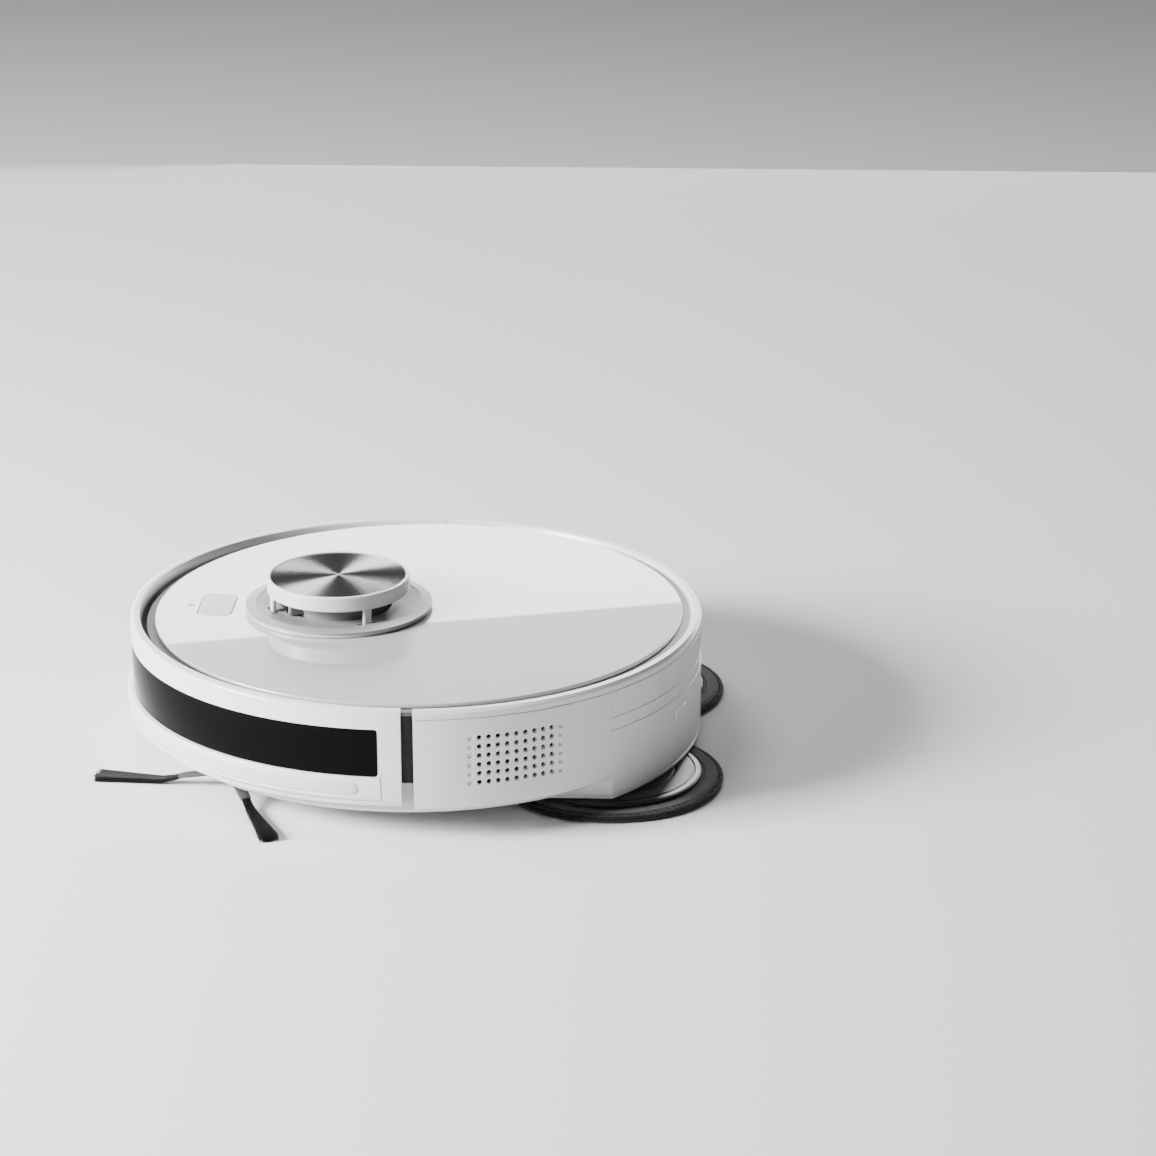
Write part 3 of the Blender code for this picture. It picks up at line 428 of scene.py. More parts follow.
holder_rubber = moulded("holder_rubber", (0.05, 0.051, 0.053), 0.55, grain=600.0, relief=0.3, mottle=0.12)
bristle_nylon = moulded("bristle_nylon", (0.006, 0.006, 0.0065), 0.42, grain=300.0, relief=0.1, mottle=0.4)
hub_section = [(0.4, 8.7), (10.6, 8.7), (11.0, 11.0), (10.0, 14.2), (5.0, 14.6), (5.0, 25.0), (0.4, 25.0)]
hub = turned_z("brush_hub", hub_section, HUB_AT, holder_rubber, step=5, edge=0.8)
mount(hub, "side_brush", ["side_brush_hub"])
for number, angle in enumerate(ARM_ANGLES, 1):
    mount(holder(number, angle), "side_brush", ["side_brush_hub"])
    mount(bristle_bundle(number, angle), "side_brush", [f"side_brush_tuft_{number}"])


# ---- Cliff sensors ----
# Infrared eyes look down through slots in the pan, behind polished smoked polycarbonate.

smoked = moulded("smoked_lens", (0.003, 0.003, 0.0035), 0.06, grain=400.0, relief=0.01)
smoked.node_tree.nodes["Principled BSDF"].inputs["IOR"].default_value = 1.10
finish_node("cliff_sensor_left", smoked)
finish_node("cliff_sensor_right", smoked)


# ---- Top cover and its raised rim ----
# The cover is moulded in pearl-white ABS with a satin lacquer. Its rim stands round the deck from
# one bumper gap to the other, with a fine seam to the side walls below and a groove inside it.

DECK = 82.0
BODY = 175.0
GAP_ANGLE = degrees(asin(10.4 / BODY))


def lacquered(name, colour, rough, flake=0.04):
    """Satin lacquer: tiny flake in the colour under a soft clear coat with a faint orange peel."""
    mat = moulded(name, colour, rough, grain=2600.0, relief=0.04, mottle=0.015)
    tree = mat.node_tree
    shader = tree.nodes["Principled BSDF"]
    place = next(n for n in tree.nodes if n.type == "TEX_COORD")
    cells = tree.nodes.new("ShaderNodeTexVoronoi")
    cells.inputs["Scale"].default_value = 5200.0
    tree.links.new(place.outputs["Object"], cells.inputs["Vector"])
    dark = (*[c * (1 - flake) for c in colour], 1)
    light = (*[min(1.0, c * (1 + flake)) for c in colour], 1)
    tone = mix_node(tree, "RGBA", cells.outputs["Distance"], dark, light)
    tree.links.new(tone, shader.inputs["Base Color"])
    shader.inputs["Coat Weight"].default_value = 0.35
    shader.inputs["Coat Roughness"].default_value = 0.18
    peel = noise_node(tree, place, 420.0, 2.0)
    add_bump(tree, shader, peel, 0.05, 0.0001)
    return mat


def offset_loop(loop, distance):
    """A closed outline moved to its left by distance. Outer outlines run anticlockwise."""
    made, count = [], len(loop)
    for i in range(count):
        a, b, c = (Vector(loop[(i + k) % count]) for k in (-1, 0, 1))
        first, second = (b - a).normalized(), (c - b).normalized()
        normal = Vector((-first.y - second.y, first.x + second.x))
        normal.normalize()
        lean = max(0.35, normal.dot(Vector((-first.y, first.x))))
        made.append(tuple(b + normal * distance / lean))
    return made


def plate(name, loops, low, high, mat, edge=0.3):
    """A flat plate with holes and rounded edges. Holes run clockwise."""
    work = bmesh.new()
    insets = (0.0, 0.29, 1.0)
    profile = [(inset, low + edge * inset) for inset in insets]
    profile += [(inset, high - edge * inset) for inset in reversed(insets)]
    tops, bottoms = [], []
    for loop in loops:
        rings = [(offset_loop(loop, edge * (1 - inset)) if inset < 1 else loop, z) for inset, z in profile]
        verts = [[work.verts.new(Vector((x, y, z)) * MM) for x, y in outline] for outline, z in rings]
        count = len(loop)
        for lower, upper in zip(verts, verts[1:]):
            for i in range(count):
                face = work.faces.new((lower[i], lower[(i + 1) % count], upper[(i + 1) % count], upper[i]))
                face.smooth = True
        bottoms.append(verts[0])
        tops.append(verts[-1])
    for rings, up in ((bottoms, -1), (tops, 1)):
        edges = [work.edges.get((a, b)) for ring in rings for a, b in zip(ring, ring[1:] + ring[:1])]
        filled = bmesh.ops.triangle_fill(work, use_beauty=True, use_dissolve=False, edges=edges)
        for face in (g for g in filled["geom"] if isinstance(g, bmesh.types.BMFace)):
            face.smooth = False
            face.normal_update()
            if face.normal.z * up < 0:
                face.normal_flip()
    mesh = bpy.data.meshes.new(name)
    work.to_mesh(mesh)
    work.free()
    mesh.materials.append(mat)
    obj = bpy.data.objects.new(name, mesh)
    bpy.context.scene.collection.objects.link(obj)
    return obj


def circle(r, centre=(0.0, 0.0), count=180, clockwise=False):
    way = -1 if clockwise else 1
    turns = [2 * pi * i / count for i in range(count)]
    return [(centre[0] + r * cos(turn), centre[1] + way * r * sin(turn)) for turn in turns]


def rim_section(lift):
    top = DECK + lift
    return [(BODY, DECK - 1.8 + lift), (BODY - 2.0, top), (BODY - 5.5, top), (BODY - 6.7, 79.3)]


pearl = lacquered("pearl_lacquer", (0.76, 0.765, 0.77), 0.34)
groove_grey = moulded("groove_grey", (0.17, 0.172, 0.176), 0.55, grain=900.0, relief=0.2)
slot = [(17.5, -119), (17.5, -133), (-17.5, -133), (-17.5, -119)]
cover = plate("cover_plate", [circle(168, count=360), circle(47, (0, -50), 120, True), slot,
                              circle(2, (0, -142), 24, True)], 76.6, 79.0, groove_grey, 0.2)
mount(cover, "chassis", ["top_cover"])
section = [(167.5, 76.7), (BODY, 76.7), *rim_section(0.0), (167.5, 78.8)]
rim = turned_z("cover_rim", section, (0, 0), pearl, GAP_ANGLE, 180 - GAP_ANGLE, 1.0, 0.45)
mount(rim, "chassis", ["top_cover"])


# ---- Deck panel ----
# A separate disc of white acrylic-faced ABS, polished to a mirror, is glued in the cover's recess.
# It is cut out for the turret, the key pad and the lamp, and its edge is rounded.

PILL_AT = (0.0, -126.0)


def pill_outline(grow=0.0, count=14):
    """The key pad's outline: a slot across the deck with soft ends, anticlockwise."""
    half, r = 20.0 + grow, 10.5 + grow
    flat = half - r * 0.62
    right = [(flat + (half - flat) * cos(a), PILL_AT[1] + r * sin(a)) for a in
             (radians(-90 + 180 * i / count) for i in range(count + 1))]
    return right + [(-x, 2 * PILL_AT[1] - y) for x, y in right]


def polished(name, colour):
    """A mirror-gloss face: hard clear coat with only the faintest waviness."""
    mat = moulded(name, colour, 0.3, grain=1800.0, relief=0.0, mottle=0.008)
    tree = mat.node_tree
    shader = tree.nodes["Principled BSDF"]
    place = next(n for n in tree.nodes if n.type == "TEX_COORD")
    shader.inputs["Coat Weight"].default_value = 1.0
    shader.inputs["Coat Roughness"].default_value = 0.015
    shader.inputs["Coat IOR"].default_value = 1.5
    add_bump(tree, shader, noise_node(tree, place, 45.0, 1.0), 0.004, 0.0004)
    return mat


deck_white = polished("deck_white", (0.52, 0.524, 0.53))
panel = plate("deck_panel", [circle(163, count=360), circle(52, (0, -50), 160, True), pill_outline(0.3)[::-1],
                             circle(1.9, (0, -142), 24, True)], 79.35, DECK, deck_white, 0.5)
mount(panel, "chassis", ["top_panel"])


# ---- Turret ----
# A grey ring on a low white step is glued over the deck's hole. The cap floats above it on four legs,
# sprung so that it gives under a low shelf, and its lid is a disc of spun aluminium.

TURRET = (0.0, -50.0)
LEGS = (30, 150, -67, -113)


def carved(obj, *tools):
    """Cuts tools out of a piece."""
    for tool in tools:
        cut = obj.modifiers.new("cut", "BOOLEAN")
        cut.operation = "DIFFERENCE"
        cut.solver = "EXACT"
        cut.object = tool
        mat = obj.data.materials[0]
        applied(obj)
        obj.data.materials.clear()
        obj.data.materials.append(mat)
        bpy.data.objects.remove(tool, do_unlink=True)
    obj.data.polygons.foreach_set("use_smooth", [True] * len(obj.data.polygons))
    obj.data.polygons.foreach_set("material_index", [0] * len(obj.data.polygons))
    obj.data.set_sharp_from_angle(angle=radians(35))
    return obj


def block(name, xs, ys, zs, mat, angle=0.0, centre=(0.0, 0.0), edge=0.0):
    """A block, rounded on its edges and turned about an upright line."""
    outline = [(xs[0], ys[0]), (xs[1], ys[0]), (xs[1], ys[1]), (xs[0], ys[1])]
    turn = Matrix.Rotation(radians(angle), 2)
    loop = [tuple(turn @ (Vector(corner) - Vector(centre)) + Vector(centre)) for corner in outline]
    return plate(name, [eased(loop, edge * 2.2) if edge else loop], zs[0], zs[1], mat, edge or 0.01)


def leg_block(name, angle, wide, depth, zs, mat, edge=0.0):
    """A block at the turret's edge, turned to face out at the given angle."""
    ys = (TURRET[1] + depth[0], TURRET[1] + depth[1])
    return block(name, (-wide, wide), ys, zs, mat, angle - 90, TURRET, edge)


ring_grey = moulded("ring_grey", (0.27, 0.273, 0.28), 0.42, grain=1500.0, relief=0.1)
ring_section = [
    (5.4, 70.1), (36, 70.1), (36, 79.35), (50, 79.35), (50, 84.9), (57.8, 84.9), (58, 85.3), (57.4, 85.7),
    (51.9, 86.5), (51.2, 86.5), (50.9, 86.0), (40.0, 84.5), (33, 84.5), (33, 72.2), (5.4, 72.2)]
ring = turned_z("turret_ring", ring_section, TURRET, ring_grey, step=2.0, edge=0.35)
carved(ring, *[leg_block("slot", a, 6.6, (40.2, 44.4), (78, 90), ring_grey) for a in LEGS])
mount(ring, "chassis", ["turret_base"])
step_section = [(50.2, 82.32), (57.3, 82.32), (57.3, 84.7), (56.8, 84.88), (50.2, 84.88)]
step = turned_z("turret_step", step_section, TURRET, deck_white, step=2.0, edge=0.3)
mount(step, "chassis", ["turret_base"])
for number, angle in enumerate(LEGS, 1):
    liner = leg_block(f"slot_liner_{number}", angle, 6.4, (40.4, 44.2), (79.6, 80.4), black_abs, 0.1)
    mount(liner, "chassis", ["turret_base"])

cap_lacquer = lacquered("cap_lacquer", (0.70, 0.705, 0.71), 0.32)
cap_section = [
    (0.4, 97.5), (41.0, 97.5), (41.0, 93.9), (43.6, 93.9), (44.2, 94.5), (44.2, 102.9), (43.6, 103.5),
    (42.2, 103.5), (42.2, 102.0), (0.4, 102.0)]
cap = turned_z("turret_hat", cap_section, TURRET, cap_lacquer, step=1.5, edge=0.3)
mount(cap, "turret_cap", ["turret_cap"])
for number, angle in enumerate(LEGS, 1):
    leg = leg_block(f"hat_leg_{number}", angle, 2.7, (40.9, 43.7), (76.2, 95.0), cap_lacquer, 0.5)
    mount(leg, "turret_cap", ["turret_cap"])


def spun_aluminium():
    """Bare aluminium faced on a lathe: circular grain, so light stretches into radial wedges."""
    mat = bpy.data.materials.new("spun_aluminium")
    mat.use_nodes = True
    tree = mat.node_tree
    shader = tree.nodes["Principled BSDF"]
    shader.inputs["Metallic"].default_value = 1.0
    shader.inputs["Anisotropic"].default_value = 0.96
    around = tree.nodes.new("ShaderNodeTangent")
    around.direction_type = "RADIAL"
    around.axis = "Z"
    tree.links.new(around.outputs["Tangent"], shader.inputs["Tangent"])
    place = tree.nodes.new("ShaderNodeTexCoord")
    shift = tree.nodes.new("ShaderNodeMapping")
    shift.inputs["Location"].default_value = (0, 0.05, 0)
    tree.links.new(place.outputs["Object"], shift.inputs["Vector"])
    rings = tree.nodes.new("ShaderNodeTexWave")
    rings.wave_type = "RINGS"
    rings.rings_direction = "Z"
    rings.inputs["Scale"].default_value = 900.0
    rings.inputs["Distortion"].default_value = 1.5
    rings.inputs["Detail"].default_value = 3.0
    tree.links.new(shift.outputs["Vector"], rings.inputs["Vector"])
    grain = rings.outputs["Fac"]
    tone = mix_node(tree, "RGBA", grain, (0.52, 0.52, 0.525, 1), (0.66, 0.66, 0.665, 1))
    tree.links.new(tone, shader.inputs["Base Color"])
    tree.links.new(mix_node(tree, "FLOAT", grain, 0.18, 0.26), shader.inputs["Roughness"])
    add_bump(tree, shader, grain, 0.06, 0.00005)
    return mat


disc_section = [(0.3, 102.3), (41.9, 102.3), (41.9, 103.1), (0.3, 103.25)]
disc = turned_z("spun_disc", disc_section, TURRET, spun_aluminium(), step=1.5, edge=0.15)
mount(disc, "turret_cap", ["cap_disc"])


# ---- Lidar drum ----
# The drum spins on its bearing under the cap. Its grey moulded head carries the laser's transmitter
# and receiver behind two dark lenses in one frame.

drum_grey = moulded("drum_grey", (0.22, 0.225, 0.23), 0.5, grain=1100.0, relief=0.2)
drum_section = [(0.4, 62), (5, 62), (5, 72.7), (30.5, 72.7), (30.5, 85.5), (31.2, 90.5), (31.5, 94.8),
                (0.4, 94.8)]
drum = turned_z("drum", drum_section, TURRET, drum_grey, step=2.0, edge=0.6)
mount(drum, "lidar_drum", ["lidar_drum"])
head = block("drum_head", (-15, 15), (-85.8, -66), (85.3, 93.6), drum_grey, 22, TURRET, 0.7)
mount(head, "lidar_drum", ["lidar_drum"])
for number, x in enumerate((-7.2, 7.2), 1):
    xs = (x - 5.4, x + 5.4)
    lens = block(f"drum_lens_{number}", xs, (-86.6, -85.6), (86.2, 92.8), smoked, 22, TURRET, 0.35)
    mount(lens, "lidar_drum", ["lidar_window"])


# ---- Keys and lamp ----
# Two satin keys share one pill-shaped opening, with a fine split between them, and press small
# domes on the key board. A clear pin beside them carries light up from the board's lamp.


def half_pill(side):
    outline = [(x, y) for x, y in pill_outline(-0.05) if x * side > 0]
    right = sorted({(round(abs(x), 4), round(y, 4)) for x, y in outline}, key=lambda c: c[1])
    loop = [(0.18, right[0][1]), *right, (0.18, right[-1][1])]
    return loop if side > 0 else [(-x, y) for x, y in loop][::-1]


def line_icon(name, lines, body, mat):
    """A printed outline, laid as fine flat lines on a key."""
    points, faces = [], []
    for line in lines:
        for a, b in zip(line, line[1:]):
            a, b = Vector(a), Vector(b)
            along = (b - a).normalized()
            across = Vector((-along.y, along.x)) * 0.2
            a, b = a - along * 0.12, b + along * 0.12
            base = len(points)
            for z in (DECK + 0.03, DECK + 0.1):
                points += [(*(a - across), z), (*(b - across), z), (*(b + across), z), (*(a + across), z)]
            faces += [(base, base + 1, base + 2, base + 3), (base + 4, base + 5, base + 6, base + 7)]
            faces += [(base + k, base + (k + 1) % 4, base + 4 + (k + 1) % 4, base + 4 + k) for k in range(4)]
    mount(mesh_piece(name, points, faces, mat, 30), body)


key_satin = lacquered("key_satin", (0.50, 0.505, 0.51), 0.36)
icon_ink = moulded("icon_ink", (0.30, 0.30, 0.31), 0.5, grain=3000.0, relief=0.02)
for name, side in (("power_key", 1), ("home_key", -1)):
    key = plate(f"{name}_top", [half_pill(side)], 80.05, DECK + 0.08, key_satin, 0.3)
    mount(key, name, [name])
power = [(9 + 3 * cos(radians(a)), -126 + 3 * sin(radians(a))) for a in range(125, 416, 10)]
line_icon("power_icon", [power, [(9, -126), (9, -122.4)]], "power_key", icon_ink)
house = [(-12.4, -128.6), (-12.4, -125.6), (-14.2, -125.6), (-10, -122.2), (-5.8, -125.6),
         (-7.6, -125.6), (-7.6, -128.6), (-12.4, -128.6)]
line_icon("home_icon", [house], "home_key", icon_ink)

lamp_clear = moulded("lamp_clear", (0.36, 0.37, 0.38), 0.12, grain=800.0, relief=0.05)
pin = [(0.2, 74), (1.6, 74), (1.6, 81.7), (1.0, 81.95), (0.2, 82.0)]
lamp = turned_z("lamp_pin", pin, (0, -142), lamp_clear, step=12, edge=0.15)
mount(lamp, "chassis", ["status_lens"])


# ---- Side walls ----
# The rear quarters are satin mouldings clipped to the pan. Each has a block of small round exhaust
# holes with a foam gauze behind, and the outer columns are only dimples.

VENT_ROWS = [64.2 - 5.56 * k for k in range(6)]
VENT_COLUMNS = [14.2 + 1.834 * k for k in range(11)]


def side_wall(name, way):
    """The wall as a shell. Holes and dimples are worked into the mesh of its outer face."""
    points, faces, lookup = [], [], {}

    def spot(angle, z, r=BODY):
        key = (round(angle, 4), round(z, 4), round(r, 3))
        if key not in lookup:
            lookup[key] = len(points)
            t = radians(angle)
            points.append((way * r * cos(t), r * sin(t), z))
        return lookup[key]

    half_a, half_z = 1.834 / 2, 5.56 / 2
    mm_a = degrees(1 / BODY)
    first, last = VENT_COLUMNS[0] - half_a, VENT_COLUMNS[-1] + half_a
    edges = [GAP_ANGLE + 0.05, GAP_ANGLE + 0.3]
    edges += [GAP_ANGLE + 0.3 + (first - GAP_ANGLE - 0.3) * k / 8 for k in range(1, 8)]
    inside = [first + (last - first) * k / 44 for k in range(45)]
    edges += inside + [last + (44.45 - last) * k / 8 for k in range(1, 9)] + [44.62]
    bottom, top = VENT_ROWS[-1] - half_z, VENT_ROWS[0] + half_z
    below = [22.5, 22.8, 25.5, 29.0, bottom]
    above = [top, 70.5, 74.0, 75.9, 76.15]
    between = [bottom + (top - bottom) * k / 24 for k in range(25)]
    for a, b in zip(edges, edges[1:]):
        clear = a > first - 1e-6 and b < last + 1e-6
        for levels in ([below, above] if clear else [below, between, above]):
            for z0, z1 in zip(levels, levels[1:]):
                faces.append((spot(a, z0), spot(b, z0), spot(b, z1), spot(a, z1)))
    for c, middle in enumerate(VENT_COLUMNS):
        for z in VENT_ROWS:
            square = []
            for k in range(16):
                side, t = divmod(k, 4)
                u, v = [(-1 + t / 2, -1), (1, -1 + t / 2), (1 - t / 2, 1), (-1, 1 - t / 2)][side]
                square.append(spot(middle + u * half_a, z + v * half_z))
            dimple = c in (0, len(VENT_COLUMNS) - 1)
            depths = ((1.72, 0), (1.6, 0.03), (1.5, 0.16))
            depths += ((1.1, 0.85), (0.6, 1.1)) if dimple else ((1.5, 1.2), (1.5, 2.55))
            rings = [square]
            for r, depth in depths:
                around = [radians(225 + 22.5 * k) for k in range(16)]
                rings.append([spot(middle + mm_a * r * cos(t), z + r * sin(t), BODY - depth) for t in around])
            for outer, inner in zip(rings, rings[1:]):
                faces += [(outer[k], outer[(k + 1) % 16], inner[(k + 1) % 16], inner[k]) for k in range(16)]
            if dimple:
                faces.append(tuple(rings[-1]))
    foot = [(BODY, 22.5), (BODY - 0.35, 21.6), (BODY - 1.1, 21.05), (168.4, 21.05), (168.4, 23.4),
            (BODY - 2.6, 23.5)]
    head = [(BODY, 76.15), (BODY - 0.12, 76.32), (BODY - 0.35, 76.4), (BODY - 2.6, 76.4)]
    for line in (foot, head):
        for (r0, z0), (r1, z1) in zip(line, line[1:]):
            faces += [(spot(a, z0, r0), spot(b, z0, r0), spot(b, z1, r1), spot(a, z1, r1))
                      for a, b in zip(edges, edges[1:])]
    for angle in (edges[0], edges[-1]):
        column = sorted({*below, *between, *above})
        outline = [spot(angle, z) for z in column]
        outline += [spot(angle, z, r) for r, z in head[1:]] + [spot(angle, z, r) for r, z in foot[:0:-1]]
        faces.append(tuple(outline))
    mesh = mesh_piece(name, points, faces, pearl, 40)
    return mesh


gauze_foam = moulded("gauze_foam", (0.008, 0.008, 0.009), 0.9, grain=1600.0, relief=0.8, mottle=0.4)
for side, way in (("left", 1), ("right", -1)):
    wall = side_wall(f"side_wall_{side}", way)
    mount(wall, "chassis", [f"side_shell_{side}"])
    gauze = [(171.2, 33), (172.0, 33), (172.0, 67.5), (171.2, 67.5)]
    start, end = (12.8, 34.2) if way > 0 else (145.8, 167.2)
    mount(turned_z(f"gauze_{side}", gauze, (0, 0), gauze_foam, start, end, 1.5, 0.1), "chassis",
          [f"side_shell_{side}"])


# ---- Bumper ----
# The bumper floats on the pan and presses back 4 mm. One lacquered shell carries the rim, a long
# infrared window of smoked polycarbonate, and a foot that stands proud with a soft strip let in.

BUMPER = (0.0, -3.0)
REACH = 90 + degrees(asin(6.4 / BODY))


def off_front(angle):
    return (angle + 90 + 180) % 360 - 180


def inset(angle, limit, low, high, corner, both=True):
    """Height of a recess at an angle: full in the middle, its corners rounded at the ends."""
    run = radians(limit - abs(off_front(angle))) * BODY
    if run <= 0:
        return low + corner * both, high - corner, False
    dip = corner - sqrt(max(0.0, corner ** 2 - (corner - run) ** 2)) if run < corner else 0.0
    return low + dip * both, high - dip, True


def stations(*limits, reach, step=1.0):
    """Angles across the front, closer together at each recess's ends."""
    marks = {-reach, reach}
    for limit in limits:
        marks |= {limit + 1e-4, -limit - 1e-4}
        for close in (1e-4, 0.04, 0.1, 0.2, 0.35, 0.55, 0.8, 1.1, 1.4):
            marks |= {limit - close, close - limit}
    fine = sorted(m for m in marks if abs(m) <= reach)
    made = [fine[0]]
    for mark in fine[1:]:
        count = max(1, round((mark - made[-1]) / step))
        made += [made[-1] + (mark - made[-1]) * k / count for k in range(1, count + 1)]
    return [m - 90 for m in made]


def foot_r(angle):
    return BODY + 3.0 * cos(radians(off_front(angle)))


def bumper_section(angle):
    lift = 3.6 * cos(radians(0.75 * off_front(angle))) ** 2
    low, high, open_window = inset(angle, 87.75, 41.35, 70.75, 2.1)
    window = BODY - (1.6 if open_window else 0.0)
    _, foot_high, open_foot = inset(angle, 88.35, 26.0, 41.3, 1.2, False)
    foot = BODY - (1.6 if open_foot else 0.0)
    rim_r = [(BODY, DECK - 1.8 + lift), (BODY - 0.5, DECK - 0.9 + lift), (BODY - 1.2, DECK - 0.25 + lift),
             (BODY - 2.2, DECK + lift), (BODY - 2.5, DECK + lift), (BODY - 5.0, DECK + lift),
             (BODY - 5.5, DECK - 0.15 + lift), (BODY - 5.8, DECK - 0.5 + lift), (BODY - 6.7, 79.3)]
    return [
        (BODY - 5.2, 23.0), (BODY - 1.5, 23.0), (BODY - 1.3, 23.1), (BODY - 0.1, 25.7), (BODY, 26.0),
        (foot, 26.0), (foot, foot_high), (BODY, foot_high),
        (BODY, low), (window, low), (window, high), (BODY, high), (BODY, high + 0.3),
        (BODY, DECK - 2.1 + lift), *rim_r,
        (BODY - 5.2, 79.3), (BODY - 4.4, 78.5), (BODY - 4.4, 26.5)]


shell = turned_z("bumper_skin", bumper_section, BUMPER, pearl, edge=0.0,
                 angles=stations(87.75, 88.35, reach=REACH), sharp=35)
mount(shell, "bumper", ["bumper_shell"])


def window_section(angle):
    low, high, _ = inset(angle, 87.62, 41.5, 70.6, 2.0)
    middle = (low + high) / 2
    return [(BODY - 1.4, low), (BODY - 0.3, low), (BODY - 0.12, low + 0.1), (BODY - 0.06, low + 0.3),
            (BODY - 0.06, middle),
            (BODY - 0.06, high - 0.3), (BODY - 0.12, high - 0.1), (BODY - 0.3, high), (BODY - 1.4, high)]


window = turned_z("infrared_window", window_section, BUMPER, smoked, edge=0.0,
                  angles=[a for a in stations(87.62, reach=87.62) if abs(off_front(a)) < 87.6199])
mount(window, "bumper", ["bumper_window"])


def foot_section(angle):
    r = foot_r(angle)
    _, top, _ = inset(angle, 88.2, 26.3, 41.15, 1.1, False)
    low, high, open_slot = inset(angle, 83.9, 29.7, 37.3, 3.75)
    slot_r = r - (0.8 if open_slot else 0.0)
    return [
        (BODY - 1.35, 26.3), (BODY - 0.7, 26.3), (BODY - 0.4, 26.4), (r - 0.25, 27.4), (r - 0.05, 27.7),
        (r, 28.1), (r, low), (slot_r, low), (slot_r, high), (r, high), (r, top - 0.9),
        (r - 0.1, top - 0.45), (r - 0.3, top - 0.15),
        (r - 0.6, top), (BODY - 1.35, top)]


foot = turned_z("bumper_foot", foot_section, BUMPER, pearl, edge=0.0,
                angles=[a for a in stations(83.9, 88.2, reach=88.2) if abs(off_front(a)) < 88.1999], sharp=35)
mount(foot, "bumper", ["bumper_skirt"])


def strip_section(angle):
    r = foot_r(angle)
    low, high, _ = inset(angle, 83.78, 29.9, 37.1, 3.55)
    mid = (high - low) / 2
    soft = min(0.6, mid * 0.8)
    return [(r - 0.6, low), (r - 0.05, low), (r + 0.16, low + soft * 0.4), (r + 0.25, low + soft),
            (r + 0.25, high - soft),
            (r + 0.16, high - soft * 0.4), (r - 0.05, high), (r - 0.6, high)]


soft_grey = moulded("soft_grey", (0.64, 0.645, 0.65), 0.62, grain=1000.0, relief=0.3)
strip = turned_z("soft_strip", strip_section, BUMPER, soft_grey, edge=0.0,
                 angles=[a for a in stations(83.78, reach=83.78) if abs(off_front(a)) < 83.7799])
mount(strip, "bumper", ["bumper_strip"])


# ---- Pull-out module ----
# The rear drawer is moulded in the same pearl ABS and slides straight back. It holds the dust box,
# the water tank and the gears of the mop pads, and two nickel strips take the charge.


def module_loop(inward):
    """The drawer's plan, anticlockwise: straight front and sides, round back."""
    half, r = 123.6 - inward, BODY - 0.05 - inward
    corner = 90 - degrees(asin(half / r))
    back = [(r * cos(radians(a)), r * sin(radians(a))) for a in
            (corner + (180 - 2 * corner) * k / 90 for k in range(91))]
    return [(-half, 60.5 + inward), (half, 60.5 + inward)] + back


def module_wall(name, low, high, edge=0.22):
    return plate(name, [module_loop(0), module_loop(2.6)[::-1]], low, high, pearl, edge)


def cutter(xs, ys, zs):
    return block("cutter", xs, ys, zs, pearl)


shaft_holes = [circle(5.5, (x, 120), 36, True) for x in (73.5, -73.5)]
floor_plate = plate("module_floor", [module_loop(0), *shaft_holes], 8.0, 10.6, pearl, 0.5)
mount(floor_plate, "module", ["module_shell"])
lower = carved(module_wall("module_wall_lower", 10.62, 51.85), cutter((-56, -14), (55, 65), (44.5, 60)))
middle = carved(module_wall("module_wall_middle", 52.05, 59.85), cutter((-56, -14), (55, 65), (50, 53)),
                cutter((-20, 20), (160, 190), (50, 64)))
upper = carved(module_wall("module_wall_upper", 60.05, 76.4), cutter((22, 50), (55, 65), (62, 67.6)),
               cutter((-20, 20), (160, 190), (58, 64)))
for wall in (lower, middle, upper):
    mount(wall, "module", ["module_shell"])

release = softened("module_release", "release_key", ring_grey, 0.6)
mount(release, "module_release", ["module_release"])
nickel = moulded("nickel", (0.72, 0.70, 0.66), 0.22, grain=900.0, relief=0.05, metal=1.0)
for side in ("left", "right"):
    strip = softened(f"charge_contact_{side}", f"charge_strip_{side}", nickel, 0.25)
    mount(strip, "module", [f"charge_contact_{side}"])

tank_smoke = moulded("tank_smoke", (0.16, 0.17, 0.18), 0.16, grain=500.0, relief=0.05, mottle=0.05)
pleat_paper = moulded("pleat_paper", (0.80, 0.79, 0.75), 0.9, grain=1900.0, relief=0.5)
mount(softened("dust_box", "dust_drawer", tank_smoke, 0.8), "module", ["dust_box"])
mount(softened("water_tank", "mop_tank", tank_smoke, 0.8), "module", ["water_tank"])
finish_node("dust_filter", pleat_paper)
finish_node("tank_plug", roller_rubber)
finish_node("mop_drive", motor_black)


# ---- Mop pads ----
# Two round microfibre pads turn against each other under the drawer. Each is a sewn disc with an
# overlocked edge and a raised ring, held by hook and loop on a grey plate on the gear's shaft.



def microfibre(name, colour, scale, relief):
    """Cut pile: clumped tufts under a soft sheen, each tuft lighter in its middle and darker towards its
    edge, which is painted shade in the gaps between tufts.
    """
    mat = bpy.data.materials.new(name)
    mat.use_nodes = True
    tree = mat.node_tree
    shader = tree.nodes["Principled BSDF"]
    shader.inputs["Roughness"].default_value = 0.95
    shader.inputs["Specular IOR Level"].default_value = 0.2
    shader.inputs["Sheen Weight"].default_value = 0.35
    shader.inputs["Sheen Roughness"].default_value = 0.5
    place = tree.nodes.new("ShaderNodeTexCoord")
    tufts = tree.nodes.new("ShaderNodeTexVoronoi")
    tufts.inputs["Scale"].default_value = scale
    tree.links.new(place.outputs["Object"], tufts.inputs["Vector"])
    dark = (*[c * 0.45 for c in colour], 1)
    light = (*[c * 1.5 for c in colour], 1)
    # Painted shade: the colour darkens from each tuft's middle to its edge, standing in for shade in the gaps
    # between tufts.
    tone = mix_node(tree, "RGBA", tufts.outputs["Distance"], light, dark)
    tree.links.new(tone, shader.inputs["Base Color"])
    add_bump(tree, shader, tufts.outputs["Distance"], relief, 0.0006)
    return mat


SWELL = 0.35


